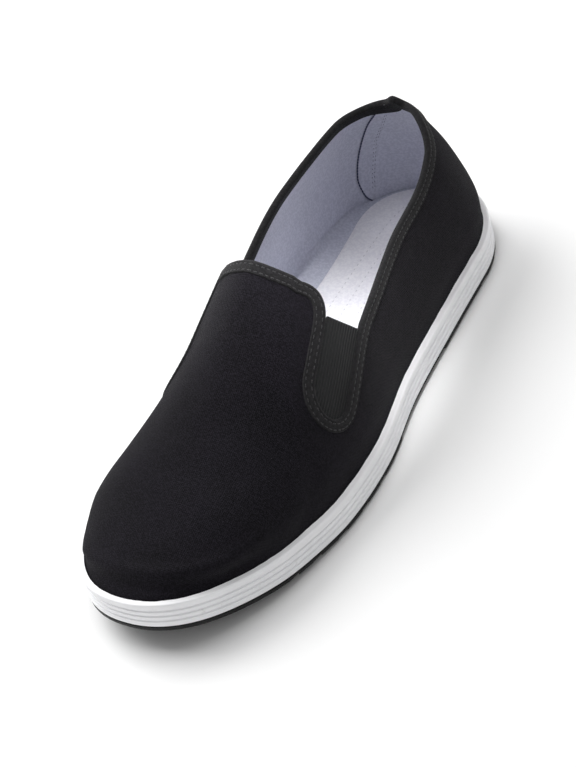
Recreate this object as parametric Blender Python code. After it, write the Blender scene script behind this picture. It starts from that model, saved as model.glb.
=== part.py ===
"""A slip-on cloth shoe for the left foot: black cotton upper with elastic gores, white side band, black tread.

Metres, +Z up. The toe points along -Y, the outer (lateral) side is +X and the floor is z = 0.
The origin is under the middle of the sole.
"""

import math

import bmesh
import bpy
import numpy as np
from mathutils.geometry import delaunay_2d_cdt

# Sole
SOLE_LENGTH = 0.280
BALL_WIDTH = 0.104
TREAD_HEIGHT = 0.0027
BAND_HEIGHT = 0.0136
DECK_DEPTH = 0.0060
LIP_WIDTH = 0.0024
TOE_SPRING = 0.0130
WAIST_RECESS = 0.0011
EDGE_ROUNDING = 0.0007
RIB_GROOVE_WIDTH = 0.0012
RIB_GROOVE_DEPTH = 0.0006
CHEVRON_WIDTH = 0.0050
CHEVRON_DEPTH = 0.0011
CHEVRON_SPACING = 0.0160
CHEVRON_REACH = 0.0090
CHEVRON_PITCH = 0.0240
HEEL_TREAD_LENGTH = 0.0240
FOREFOOT_TREAD_LENGTH = 0.0720
INSOLE_THICKNESS = 0.0030

# Upper
WALL = 0.0014
TOE_BOX_HEIGHT = 0.0398
INSTEP_HEIGHT = 0.0964
CREST_HEIGHT = 0.0985
HEEL_HEIGHT = 0.0771
SIDE_BULGE = 0.0015
VAMP_LENGTH = 0.1419
TONGUE_WIDTH = 0.0753
TONGUE_SAG = 0.0079
TONGUE_RADIUS = 0.0120
GORE_LENGTH = 0.0431
GORE_WIDTH = 0.0212
GORE_SLANT = 0.0043
GORE_HEM = 0.0030
GORE_THICKNESS = 0.0010
GORE_SETBACK = 0.0004
MOUTH_RADIUS = 0.0120
BINDING_WIDTH = 0.0050
BINDING_THICKNESS = 0.0006
HEEL_PEAK = 0.0034
HEEL_PEAK_WIDTH = 0.0200

# The gap that neighbours keep
GAP = 0.0003

# Fineness of the meshes
HALF_STATIONS = 38
OUTLINE_SAMPLES = 721
RIB_SAMPLES = 61
ARC_SEGMENTS = 6
GORE_SEGMENTS = 5
QUARTER_SEGMENTS = 24
ROW_SHARES = (0.06, 0.16, 0.27, 0.38, 0.49, 0.60, 0.71, 0.82, 0.92)
NORMAL_STEP = 0.0002
CLOSEST_POINTS = 0.0008
ROW_CLEARANCE = 0.0022
SMALLEST_AREA = 2e-9

LATERAL, MEDIAL = 1.0, -1.0

# The sole's outline from heel to toe: the place along the length, then the offset of the middle to
# the lateral side and the half width as shares of the ball width
SOLE_ROWS = (
    (0.00, 0.004, 0.345),
    (0.12, -0.002, 0.368),
    (0.28, 0.006, 0.388),
    (0.42, 0.024, 0.404),
    (0.56, 0.022, 0.474),
    (0.68, -0.006, 0.500),
    (0.80, -0.034, 0.463),
    (0.90, -0.053, 0.427),
    (1.00, -0.058, 0.405),
)
HEEL_ROUND, HEEL_POWER = 0.14, 2.1
TOE_ROUND, TOE_POWER = 0.23, 2.2
BALL_LINE = 0.66
HEEL_BREAST, FOREFOOT_BAR = 0.30, 0.50
HEEL_PAD_START, FOREFOOT_PAD_START = 0.10, 0.575

# The ridge over the foot as seen from the side: the place along the length, and the height as
# shares of the crest, instep and toe box heights
RIDGE_ROWS = (
    (0.00, 1.00, 0.00, 0.00),
    (0.25, 0.98, 0.00, 0.00),
    (0.46, 0.00, 1.00, 0.00),
    (0.60, 0.00, 0.77, 0.00),
    (0.72, 0.00, 0.29, 0.71),
    (0.85, 0.00, 0.00, 1.13),
    (1.00, 0.00, 0.00, 0.95),
)
# The upper's ribs run straight across between these places and fan out before and behind them
RIDGE_FRONT, RIDGE_BACK = 0.83, 0.125

# How far the ridge leans to the lateral side of the sole's middle: the place along the length, and
# the lean as a share of the ball width
SWAY_ROWS = (
    (0.00, 0.009),
    (0.16, -0.037),
    (0.32, -0.069),
    (0.50, -0.062),
    (0.83, 0.000),
    (1.00, 0.000),
)

# How square a rib is at its foot and at its crest: the place along the length, the two values on
# the lateral side and the two on the medial side
SECTION_ROWS = (
    (0.00, 1.41, 1.21, 1.19, 1.10),
    (0.45, 1.22, 1.01, 1.13, 0.98),
    (0.65, 1.03, 1.16, 1.12, 1.25),
    (0.83, 0.77, 0.77, 0.77, 0.77),
    (1.00, 0.77, 0.77, 0.77, 0.77),
)

# The quarters' top edges: the place from the gore to the middle of the heel, and the lateral and
# the medial height as shares of the heel height
TOPLINE_ROWS = (
    (0.30, 0.810, 0.930),
    (0.55, 0.840, 0.975),
    (0.80, 1.000, 0.955),
    (1.00, 1.000, 1.000),
)


def smooth_table(rows, column, places):
    """The column's value at each place, on a smooth curve through the rows."""
    x = np.array([row[0] for row in rows])
    y = np.array([row[column] for row in rows])
    slopes = np.gradient(y, x)
    places = np.clip(places, x[0], x[-1])
    k = np.clip(np.searchsorted(x, places, side="right") - 1, 0, len(x) - 2)
    span = x[k + 1] - x[k]
    t = (places - x[k]) / span
    return (
        y[k] * (1 + 2 * t) * (1 - t) ** 2
        + y[k + 1] * t * t * (3 - 2 * t)
        + slopes[k] * span * t * (1 - t) ** 2
        - slopes[k + 1] * span * t * t * (1 - t)
    )


def along_of(y):
    """The place along the length, 0 at the heel and 1 at the toe, of a plan coordinate."""
    return 0.5 - y / SOLE_LENGTH


def y_of(along):
    return (0.5 - along) * SOLE_LENGTH


def lift(y):
    """How far toe spring raises the sole and all on it."""
    ahead = np.clip((along_of(y) - BALL_LINE) / (1 - BALL_LINE), 0, 1)
    return TOE_SPRING * ahead**2


def outline_point(angle):
    """A point of the sole's outline: angle 0 at the heel, half a turn at the toe, lateral side first."""
    along = (1 - np.cos(angle)) / 2
    heel = np.clip(1 - along / HEEL_ROUND, 0, 1)
    toe = np.clip((along - 1 + TOE_ROUND) / TOE_ROUND, 0, 1)
    rounding = np.where(
        along < 0.5,
        (1 - heel**HEEL_POWER) ** (1 / HEEL_POWER),
        (1 - toe**TOE_POWER) ** (1 / TOE_POWER),
    )
    side = np.where(np.sin(angle) >= 0, LATERAL, MEDIAL)
    middle = smooth_table(SOLE_ROWS, 1, along)
    half = smooth_table(SOLE_ROWS, 2, along) * rounding
    return np.stack([(middle + side * half) * BALL_WIDTH, y_of(along)], axis=-1)


def inset_outline(angles, inset):
    """The outline moved inwards by inset."""
    step = 1e-3
    tangent = outline_point(angles + step) - outline_point(angles - step)
    tangent /= np.linalg.norm(tangent, axis=-1, keepdims=True)
    inward = np.stack([tangent[..., 1], -tangent[..., 0]], axis=-1)
    return outline_point(angles) + inward * inset


def station_angles(steps=()):
    """Angles of the stations round the outline, in pairs across the sole. A step gets two stations."""
    half = np.linspace(0, math.pi, HALF_STATIONS + 1)
    for step in steps:
        edge = math.acos(1 - 2 * step)
        half = np.concatenate([half[np.abs(half - edge) > 0.02], [edge - 0.002, edge + 0.002]])
    half = np.sort(half)
    return np.concatenate([half, 2 * math.pi - half[-2:0:-1]])


def material(name, colour, roughness):
    made = bpy.data.materials.new(name)
    made.use_nodes = True
    shader = made.node_tree.nodes["Principled BSDF"]
    shader.inputs["Base Color"].default_value = (*colour, 1.0)
    shader.inputs["Roughness"].default_value = roughness
    shader.inputs["Metallic"].default_value = 0.0
    made.diffuse_color = (*colour, 1.0)
    return made


def solid(name, points, faces, finish):
    """An object of these points and faces, closed, with its faces pointing out."""
    mesh = bpy.data.meshes.new(name)
    mesh.from_pydata([tuple(map(float, p)) for p in points], [], [tuple(map(int, f)) for f in faces])
    shape = bmesh.new()
    shape.from_mesh(mesh)
    bmesh.ops.recalc_face_normals(shape, faces=shape.faces)
    shape.to_mesh(mesh)
    shape.free()
    mesh.shade_smooth()
    mesh.set_sharp_from_angle(angle=math.radians(40))
    mesh.materials.append(finish)
    made = bpy.data.objects.new(name, mesh)
    bpy.context.collection.objects.link(made)
    return made


def ladder(first, count):
    """Faces across a ring of paired stations that starts at vertex first."""
    half = count // 2
    faces = [(first, first + 1, first + count - 1)]
    for k in range(1, half - 1):
        faces.append((first + k, first + k + 1, first + count - k - 1, first + count - k))
    faces.append((first + half - 1, first + half, first + half + 1))
    return faces


def bands(ring_count, count, closed=False):
    """Faces between rings of count points each, the last ring joined to the first if closed."""
    faces = []
    for r in range(ring_count if closed else ring_count - 1):
        a, b = r * count, (r + 1) % ring_count * count
        for k in range(count):
            n = (k + 1) % count
            faces.append((a + k, a + n, b + n, b + k))
    return faces


def slab(name, profile, angles, finish):
    """A solid inside the outline, from rings given bottom to top as an inset and a height over the lift.

    A height may be a function of the plan coordinate along the shoe.
    """
    rings = []
    for inset, height in profile:
        plan = inset_outline(angles, inset)
        z = height(plan[:, 1]) if callable(height) else height
        rings.append(np.column_stack([plan, z + lift(plan[:, 1])]))
    count = len(angles)
    faces = bands(len(rings), count) + ladder(0, count) + ladder((len(rings) - 1) * count, count)
    return solid(name, np.concatenate(rings), faces, finish)


def tread_floor(y):
    """The tread's lowest surface: the waist between heel and forefoot stands off the floor."""
    along = along_of(y)
    return np.where((along > HEEL_BREAST) & (along < FOREFOOT_BAR), WAIST_RECESS, 0.0)


def zigzag(y):
    """Points and faces of a cutter for one zigzag groove across the sole at y."""
    turns = math.ceil(BALL_WIDTH / CHEVRON_PITCH) + 1
    x = (np.arange(2 * turns + 1) - turns) * CHEVRON_PITCH / 2
    middle = y + CHEVRON_REACH / 2 * np.where(np.arange(len(x)) % 2, 1, -1)
    half = CHEVRON_WIDTH / 2 * math.hypot(1, 2 * CHEVRON_REACH / CHEVRON_PITCH)
    points = []
    for px, py in zip(x, middle):
        top = float(lift(py)) + CHEVRON_DEPTH
        for dy, z in ((-half, -CHEVRON_DEPTH), (half, -CHEVRON_DEPTH), (half, top), (-half, top)):
            points.append((px, py + dy, z))
    faces = [(3, 2, 1, 0)]
    for k in range(len(x) - 1):
        for c in range(4):
            a, b = 4 * k + c, 4 * k + (c + 1) % 4
            faces.append((a, b, b + 4, a + 4))
    last = 4 * (len(x) - 1)
    faces.append((last, last + 1, last + 2, last + 3))
    return points, faces


def make_outsole(finish):
    profile = (
        (EDGE_ROUNDING * 2, tread_floor),
        (GAP, lambda y: tread_floor(y) + EDGE_ROUNDING),
        (GAP, TREAD_HEIGHT - EDGE_ROUNDING / 2),
        (EDGE_ROUNDING, TREAD_HEIGHT),
    )
    sole = slab("outsole", profile, station_angles((HEEL_BREAST, FOREFOOT_BAR)), finish)
    points, faces = [], []
    pads = ((HEEL_PAD_START, HEEL_TREAD_LENGTH), (FOREFOOT_PAD_START, FOREFOOT_TREAD_LENGTH))
    for start, length in pads:
        for k in range(math.ceil(length / CHEVRON_SPACING)):
            more, sides = zigzag(y_of(start) - k * CHEVRON_SPACING)
            faces += [tuple(i + len(points) for i in face) for face in sides]
            points += more
    cutter = solid("tread_cutter", points, faces, finish)
    cutter.hide_render = True
    cutter.display_type = "WIRE"
    cut = sole.modifiers.new("tread", "BOOLEAN")
    cut.operation = "DIFFERENCE"
    cut.object = cutter


def make_midsole(finish):
    """The white side band, ribbed, with the deck that carries the foot."""
    bottom = TREAD_HEIGHT + GAP
    top = bottom + BAND_HEIGHT
    profile = [(EDGE_ROUNDING, bottom), (0.0, bottom + EDGE_ROUNDING)]
    for share in (0.26, 0.48, 0.70):
        middle = bottom + share * BAND_HEIGHT
        profile += [
            (0.0, middle - RIB_GROOVE_WIDTH / 2),
            (RIB_GROOVE_DEPTH, middle),
            (0.0, middle + RIB_GROOVE_WIDTH / 2),
        ]
    profile += [
        (0.0, top - EDGE_ROUNDING),
        (EDGE_ROUNDING, top),
        (LIP_WIDTH, top - EDGE_ROUNDING / 2),
        (LIP_WIDTH, top - DECK_DEPTH),
    ]
    slab("midsole", profile, station_angles(), finish)


def deck_height():
    return TREAD_HEIGHT + GAP + BAND_HEIGHT - DECK_DEPTH


def make_insole(finish):
    inset = LIP_WIDTH + GAP + WALL + 2 * GAP
    bottom = deck_height() + GAP
    top = bottom + INSOLE_THICKNESS
    profile = (
        (inset, bottom),
        (inset, top - EDGE_ROUNDING),
        (inset + EDGE_ROUNDING, top),
    )
    slab("insole", profile, station_angles(), finish)


class Last:
    """The upper's outer form over the foot, reached through a flat pattern.

    The pattern's y axis is the ridge over the foot. A pattern point's distance from the ridge is
    measured along the surface, straight across the shoe in its middle, and along ribs that fan out
    at the toe and the heel. The pattern's +X is the lateral side.
    """

    def __init__(self):
        angles = np.linspace(0, 2 * math.pi, OUTLINE_SAMPLES)
        feather = inset_outline(angles, LIP_WIDTH + GAP)
        half = OUTLINE_SAMPLES // 2
        self.lateral, self.medial = feather[: half + 1], feather[half:]
        self.front, self.back = y_of(RIDGE_FRONT), y_of(RIDGE_BACK)
        self.fans = []
        for origin_y, toward in ((self.front, -1.0), (self.back, 1.0)):
            origin = np.array([self.ridge_x(origin_y), origin_y])
            arm = feather[:-1] - origin
            turn = np.arctan2(arm[:, 0], toward * arm[:, 1])
            order = np.argsort(turn)
            self.fans.append((toward, turn[order], np.linalg.norm(arm, axis=1)[order]))

    def ridge_x(self, y):
        """The ridge follows the middle of the sole, and sways from it where the foot does."""
        place = along_of(y)
        return (smooth_table(SOLE_ROWS, 1, place) + smooth_table(SWAY_ROWS, 1, place)) * BALL_WIDTH

    def reach(self, origin_y, direction):
        """How far the feather edge lies from the ridge, in plan, in a direction."""
        y = origin_y
        ridge = self.ridge_x(y)
        lateral = np.interp(-y, -self.lateral[:, 1], self.lateral[:, 0]) - ridge
        medial = ridge - np.interp(y, self.medial[:, 1], self.medial[:, 0])
        distance = np.where(direction[:, 0] >= 0, lateral, medial)
        for toward, turns, lengths in self.fans:
            inside = toward * direction[:, 1] > 1e-9
            turn = np.arctan2(direction[:, 0], toward * direction[:, 1])
            fan = np.interp(turn, turns, lengths, period=2 * math.pi)
            distance = np.where(inside, fan, distance)
        return distance

    def rib_points(self, origin_y, direction, reach, v):
        """Points of ribs, one row of v for each rib, from 0 at the feather edge to 1 at the ridge."""
        origin = origin_y[:, None]
        reach = reach[:, None]
        sideways, onward = direction[:, :1], direction[:, 1:]
        foot = deck_height() + GAP + lift(origin + onward * reach)
        place = along_of(origin)
        lateral = (1 + sideways) / 2
        flat, steep = (
            lateral * smooth_table(SECTION_ROWS, k, place)
            + (1 - lateral) * smooth_table(SECTION_ROWS, k + 2, place)
            for k in (1, 2)
        )
        out = np.cos(v * math.pi / 2).clip(0) ** flat
        up = np.sin(v * math.pi / 2) ** steep
        plan = reach * out
        ridge = self.ridge_height(origin + onward * plan)
        z = foot + (ridge - foot) * up
        lip = DECK_DEPTH + GAP
        over = np.clip((z - foot - lip) / (2 * lip), 0, 1)
        plan = plan + SIDE_BULGE * over * over * (3 - 2 * over) * out
        x = self.ridge_x(origin) + sideways * plan
        return np.stack([x, origin + onward * plan, z], axis=-1)

    def ridge_height(self, y):
        place = along_of(y)
        heights = (CREST_HEIGHT, INSTEP_HEIGHT, TOE_BOX_HEIGHT)
        return sum(h * smooth_table(RIDGE_ROWS, k + 1, place) for k, h in enumerate(heights))

    def rib_lengths(self, origin_y, direction, reach):
        """Distances along ribs from the ridge, at even steps of v from 1 down to 0."""
        steps = np.linspace(1, 0, RIB_SAMPLES)
        points = self.rib_points(origin_y, direction, reach, np.tile(steps, (len(reach), 1)))
        pieces = np.linalg.norm(np.diff(points, axis=1), axis=2)
        lengths = np.concatenate([np.zeros((len(reach), 1)), np.cumsum(pieces, axis=1)], axis=1)
        return steps, lengths, points

    def split(self, pattern):
        """Where on the ridge each pattern point's rib starts, its direction and its distance."""
        origin_y = np.clip(pattern[:, 1], self.front, self.back)
        arm = pattern - np.stack([np.zeros(len(pattern)), origin_y], axis=1)
        distance = np.linalg.norm(arm, axis=1)
        near = distance < 1e-9
        direction = np.where(near[:, None], (1.0, 0.0), arm / np.maximum(distance, 1e-9)[:, None])
        return origin_y, direction, distance

    def skin(self, pattern):
        """Points of the outer surface for pattern points."""
        origin_y, direction, distance = self.split(pattern)
        reach = self.reach(origin_y, direction)
        steps, lengths, _ = self.rib_lengths(origin_y, direction, reach)
        distance = np.minimum(distance, lengths[:, -1])
        k = np.clip((lengths < distance[:, None]).sum(axis=1), 1, len(steps) - 1)
        row = np.arange(len(k))
        share = (distance - lengths[row, k - 1]) / (lengths[row, k] - lengths[row, k - 1])
        v = steps[k - 1] + share * (steps[k] - steps[k - 1])
        return self.rib_points(origin_y, direction, reach, v[:, None])[:, 0]

    def frame(self, pattern):
        """Outer points, with the surface's two pattern slopes and its outward normal."""
        slopes = []
        for axis in (0, 1):
            step = np.zeros(2)
            step[axis] = NORMAL_STEP
            ahead, behind = self.skin(pattern + step), self.skin(pattern - step)
            slopes.append((ahead - behind) / (2 * NORMAL_STEP))
        normal = np.cross(slopes[0], slopes[1])
        normal /= np.linalg.norm(normal, axis=1, keepdims=True)
        return self.skin(pattern), slopes, normal

    def at(self, pattern, height):
        """Points that stand off the outer surface by height, which is negative inside."""
        pattern = np.asarray(pattern, float)
        points, _, normal = self.frame(pattern)
        return points + normal * np.broadcast_to(height, len(points))[:, None]

    def feather_pattern(self, angles):
        """Pattern points of the feather edge at the stations."""
        foot = inset_outline(angles, LIP_WIDTH + GAP)
        origin_y = np.clip(foot[:, 1], self.front, self.back)
        arm = foot - np.stack([self.ridge_x(origin_y), origin_y], axis=1)
        direction = arm / np.linalg.norm(arm, axis=1, keepdims=True)
        reach = np.linalg.norm(arm, axis=1)
        _, lengths, _ = self.rib_lengths(origin_y, direction, reach)
        origin = np.stack([np.zeros(len(foot)), origin_y], axis=1)
        return origin, direction, lengths[:, -1]

    def pattern_at_height(self, origin_y, direction, height):
        """The pattern points of ribs where they reach a height over the floor."""
        reach = self.reach(origin_y, direction)
        _, lengths, points = self.rib_lengths(origin_y, direction, reach)
        found = [
            np.interp(-h, -points[k, :, 2], lengths[k]) for k, h in enumerate(height)
        ]
        origin = np.stack([np.zeros(len(found)), origin_y], axis=1)
        return origin + direction * np.array(found)[:, None]


def arc(middle, radius, start, end, segments):
    turns = np.linspace(start, end, segments + 1)
    return middle + radius * np.stack([np.cos(turns), np.sin(turns)], axis=1)


def fillet(before, corner, after, radius, segments):
    """Points that round the corner of a path with a curve tangent to both its sides."""
    first = (before - corner) / np.linalg.norm(before - corner)
    second = (after - corner) / np.linalg.norm(after - corner)
    opening = math.acos(float(np.clip(first @ second, -1, 1)))
    back = radius / math.tan(opening / 2)
    t = np.linspace(0, 1, segments + 1)[:, None]
    start, end = corner + first * back, corner + second * back
    return start * (1 - t) ** 2 + corner * 2 * t * (1 - t) + end * t**2


def gore_axes():
    """The gore's run towards the toe and its width direction, on the lateral side of the pattern."""
    run = np.array([GORE_SLANT, -GORE_LENGTH])
    run /= np.linalg.norm(run)
    return run, np.array([-run[1], run[0]])


def tongue_corner():
    return np.array([TONGUE_WIDTH / 2, y_of(1) + VAMP_LENGTH + TONGUE_SAG])


def quarter_edge(last, start, side):
    """A side's top edge in the pattern, from start near the gore to the middle of the heel."""
    start_height = last.skin(start[None])[0, 2]
    quarter_turn = math.pi / 2
    heel_length = last.lateral[0, 1] - last.back
    run = (last.back - start[1]) + heel_length * quarter_turn
    place = np.linspace(0, 1, QUARTER_SEGMENTS + 1)[1:]
    went = place * run
    origin_y = np.minimum(start[1] + went, last.back)
    turn = np.clip((went - (last.back - start[1])) / heel_length, 0, quarter_turn)
    direction = np.stack([side * np.cos(turn), np.sin(turn)], axis=1)
    start_share = start_height / HEEL_HEIGHT
    rows = ((0.0, start_share, start_share), *TOPLINE_ROWS)
    height = smooth_table(rows, 1 if side == LATERAL else 2, place) * HEEL_HEIGHT
    near = np.clip(1 - (1 - place) * run / (HEEL_PEAK_WIDTH / 2), 0, 1)
    height = height + HEEL_PEAK * near * near * (3 - 2 * near)
    return last.pattern_at_height(origin_y, direction, height)


def uncrowded(path):
    """The path without the points that lie too close to the one before."""
    kept = [path[0]]
    for point in path[1:-1]:
        if np.linalg.norm(point - kept[-1]) >= CLOSEST_POINTS:
            kept.append(point)
    return np.array([*kept, path[-1]])


def side_edge(last, side):
    """One side of the opening's edge in the pattern, from the throat over the gore to the heel."""
    run, across = gore_axes()
    corner = tongue_corner()
    far = corner + across * GORE_WIDTH
    middle = corner + across * GORE_WIDTH / 2 + run * (GORE_LENGTH - GORE_WIDTH / 2)
    throat = np.array([0.0, corner[1] - TONGUE_SAG])
    share = np.linspace(0, 1, 9)[:, None]
    tongue = throat + share * np.array([corner[0], 0.0]) + share**2 * np.array([0.0, TONGUE_SAG])
    rounded = fillet(tongue[-2], corner, corner + run, TONGUE_RADIUS, ARC_SEGMENTS)
    tongue = tongue[tongue[:, 0] < rounded[0, 0] - ROW_CLEARANCE]
    turn = math.atan2(-across[1], -across[0])
    bottom = arc(middle, GORE_WIDTH / 2, turn, turn + math.pi, 2 * ARC_SEGMENTS)
    t = np.linspace(0, 1, GORE_SEGMENTS + 1)[1:-1, None]
    down = rounded[-1] * (1 - t) + bottom[0] * t
    mirror = (side, 1)
    quarter = quarter_edge(last, far * mirror, side) * mirror
    mouth = fillet(bottom[-1], far, quarter[1], MOUTH_RADIUS, ARC_SEGMENTS // 2)
    up = bottom[-1] * (1 - t) + mouth[0] * t
    quarter = quarter[np.linalg.norm(quarter - far, axis=1) > MOUTH_RADIUS]
    edge = np.concatenate([tongue, rounded, down, bottom, up, mouth, quarter])
    return uncrowded(edge) * mirror


def topline(last):
    """The closed edge of the opening in the pattern: tongue, gore, quarter and back on the other side."""
    return np.concatenate([side_edge(last, LATERAL), side_edge(last, MEDIAL)[-2:0:-1]])


def inside(points, loop):
    """Which points lie inside a closed pattern path."""
    found = np.zeros(len(points), bool)
    for a, b in zip(loop, np.roll(loop, -1, axis=0)):
        crosses = (a[1] > points[:, 1]) != (b[1] > points[:, 1])
        with np.errstate(divide="ignore", invalid="ignore"):
            x = a[0] + (points[:, 1] - a[1]) / (b[1] - a[1]) * (b[0] - a[0])
        found ^= crosses & (points[:, 0] < x)
    return found


def distance_to(points, loop):
    """The distance of each point from a closed pattern path."""
    nearest = np.full(len(points), np.inf)
    for a, b in zip(loop, np.roll(loop, -1, axis=0)):
        d = b - a
        t = np.clip((points - a) @ d / (d @ d), 0, 1)
        nearest = np.minimum(nearest, np.linalg.norm(points - a - t[:, None] * d, axis=1))
    return nearest


def unfolded(line, edge):
    """The line that runs beside a closed edge, without the points where it turns back on itself."""
    steps = np.roll(line, -1, axis=0) - line
    along = (steps * (np.roll(edge, -1, axis=0) - edge)).sum(axis=1) > 0
    return line[along & np.roll(along, 1)]


def triangulate(loops, extra, keep):
    """Triangles between the closed pattern paths and the extra points, where keep says so."""
    points = np.concatenate([*loops, extra])
    edges, first = [], 0
    for loop in loops:
        count = len(loop)
        edges += [(first + k, first + (k + 1) % count) for k in range(count)]
        first += count
    made = delaunay_2d_cdt([tuple(p) for p in points], edges, [], 0, 1e-7)
    order = np.array([ids[0] for ids in made[3]])
    faces = order[np.array(made[2])]
    first, second, third = (points[faces[:, k]] for k in range(3))
    ahead, aside = second - first, third - first
    area = np.abs(ahead[:, 0] * aside[:, 1] - ahead[:, 1] * aside[:, 0]) / 2
    centres = (first + second + third) / 3
    return points, faces[(area > SMALLEST_AREA) & keep(centres)]


def shell(name, points, faces, loops, heights, last, finish):
    """A solid between two heights over the last, from triangles of the pattern."""
    top, bottom = heights
    count = len(points)
    both = np.concatenate([last.at(points, top), last.at(points, bottom)])
    sides, first = [], 0
    for loop in loops:
        n = len(loop)
        for k in range(n):
            a, b = first + k, first + (k + 1) % n
            sides.append((a, b, b + count, a + count))
        first += n
    lids = [tuple(f) for f in faces] + [tuple(f[::-1] + count) for f in faces]
    return solid(name, both, lids + sides, finish)


def edge_inward(last, loop):
    """Pattern steps that lead one metre of surface into the cloth, square to its edge."""
    _, slopes, normal = last.frame(loop)
    ahead, behind = np.roll(loop, -1, axis=0), np.roll(loop, 1, axis=0)
    flat = ahead - behind
    tangent = slopes[0] * flat[:, :1] + slopes[1] * flat[:, 1:]
    tangent /= np.linalg.norm(tangent, axis=1, keepdims=True)
    inward = np.cross(tangent, normal)
    a, b, c = ((slopes[i] * slopes[j]).sum(axis=1) for i, j in ((0, 0), (0, 1), (1, 1)))
    p, q = ((slopes[i] * inward).sum(axis=1) for i in (0, 1))
    spread = a * c - b * b
    return np.stack([(c * p - b * q) / spread, (a * q - b * p) / spread], axis=1)


def make_upper(last, opening, finish):
    angles = station_angles()
    origin, direction, length = last.feather_pattern(angles)
    feather = origin + direction * length[:, None]
    rows = [origin + direction * (length * (1 - share))[:, None] for share in ROW_SHARES]
    ridge_y = np.linspace(last.front, opening[0, 1], 12)
    extra = np.concatenate([*rows, np.stack([np.zeros(len(ridge_y)), ridge_y], axis=1)])
    tape_line = unfolded(opening + edge_inward(last, opening) * BINDING_WIDTH, opening)
    clear = (distance_to(extra, tape_line) > ROW_CLEARANCE) & ~inside(extra, tape_line)
    loops = (feather, opening)

    def keep(centres):
        return inside(centres, feather) & ~inside(centres, opening)

    points, faces = triangulate((*loops, tape_line), extra[clear], keep)
    shell("upper", points, faces, loops, (0.0, -WALL), last, finish)


def gore_path(side):
    """The elastic panel's closed outline in the pattern, clear of the binding round it."""
    run, across = gore_axes()
    corner = tongue_corner()
    clear = BINDING_THICKNESS + 2 * GAP
    half = GORE_WIDTH / 2 - clear
    middle = corner + across * GORE_WIDTH / 2
    bottom = middle + run * (GORE_LENGTH - GORE_WIDTH / 2)
    turn = math.atan2(-across[1], -across[0])
    curve = arc(bottom, half, turn, turn + math.pi, 2 * ARC_SEGMENTS)
    t = np.linspace(0, 1, GORE_SEGMENTS + 1)[:, None]
    near = middle - across * half + run * TONGUE_RADIUS * 0.75
    far = middle + across * half + run * GORE_HEM
    down = near * (1 - t[:-1]) + curve[0] * t[:-1]
    up = curve[-1] * (1 - t[1:]) + far * t[1:]
    path = np.concatenate([down, curve, up])
    return path * (side, 1)


def make_gore(last, name, side, finish):
    path = gore_path(side)
    middle = path.mean(axis=0)
    extra = np.concatenate([middle + (path - middle) * share for share in (0.35, 0.7)])

    def keep(centres):
        return inside(centres, path)

    points, faces = triangulate((path,), extra, keep)
    heights = (-GORE_SETBACK, -GORE_SETBACK - GORE_THICKNESS)
    shell(name, points, faces, (path,), heights, last, finish)


def make_binding(last, opening, finish):
    """A tape folded over the opening's edge, its section swept all the way round."""
    near, far = GAP, GAP + BINDING_THICKNESS
    soft = BINDING_THICKNESS / 2
    section = (
        (BINDING_WIDTH, near),
        (BINDING_WIDTH, far - soft / 2),
        (BINDING_WIDTH - soft, far),
        (-far + soft, far),
        (-far, far - soft),
        (-far, -WALL - far + soft),
        (-far + soft, -WALL - far),
        (BINDING_WIDTH, -WALL - far),
        (BINDING_WIDTH, -WALL - near),
        (-near, -WALL - near),
        (-near, near),
    )
    inward = edge_inward(last, opening)
    rings = [last.at(opening + inward * depth, height) for depth, height in section]
    faces = bands(len(rings), len(opening), closed=True)
    solid("collar_binding", np.concatenate(rings), faces, finish)


def main():
    for old in list(bpy.data.objects):
        bpy.data.objects.remove(old)
    rubber = material("black_rubber", (0.012, 0.012, 0.013), 0.55)
    band = material("white_band", (0.82, 0.83, 0.85), 0.45)
    cotton = material("black_cotton", (0.014, 0.013, 0.016), 0.85)
    tape = material("black_tape", (0.016, 0.015, 0.015), 0.7)
    elastic = material("black_elastic", (0.020, 0.020, 0.021), 0.75)
    footbed = material("white_footbed", (0.72, 0.71, 0.74), 0.8)
    make_outsole(rubber)
    make_midsole(band)
    make_insole(footbed)
    last = Last()
    opening = topline(last)
    make_upper(last, opening, cotton)
    make_binding(last, opening, tape)
    make_gore(last, "gore_lateral", LATERAL, elastic)
    make_gore(last, "gore_medial", MEDIAL, elastic)


main()
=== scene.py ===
# %% [markdown]
# # A black cotton slip-on shoe
# This lesson dresses one left shoe: a closed cotton upper with two elastic gores, a tape folded over
# the edge of its opening, a pale lining, a white footbed, a white ribbed band round the sole and a
# thin black tread. Every size is in metres. The toe points along -Y and the outer side is +X.
# The plain solids of the shoe come in first, and each dressed piece that takes a solid's place hides it.

# %% Load the plain solids
import math

import bmesh
import bpy
import numpy as np
from mathutils import Matrix, Vector, noise
from mathutils.geometry import delaunay_2d_cdt


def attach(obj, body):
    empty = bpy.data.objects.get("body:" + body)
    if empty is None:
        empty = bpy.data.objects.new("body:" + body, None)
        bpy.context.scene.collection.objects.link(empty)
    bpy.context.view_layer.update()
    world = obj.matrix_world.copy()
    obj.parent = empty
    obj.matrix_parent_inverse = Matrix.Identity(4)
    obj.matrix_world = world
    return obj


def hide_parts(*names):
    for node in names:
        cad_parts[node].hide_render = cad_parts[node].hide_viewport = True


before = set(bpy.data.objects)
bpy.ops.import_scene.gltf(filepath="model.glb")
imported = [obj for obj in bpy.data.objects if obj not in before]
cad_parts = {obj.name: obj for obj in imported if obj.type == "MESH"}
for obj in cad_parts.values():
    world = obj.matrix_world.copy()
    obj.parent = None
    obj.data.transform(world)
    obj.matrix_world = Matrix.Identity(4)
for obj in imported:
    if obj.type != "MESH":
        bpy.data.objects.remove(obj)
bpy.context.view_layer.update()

print("solids:", sorted(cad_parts))

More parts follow.
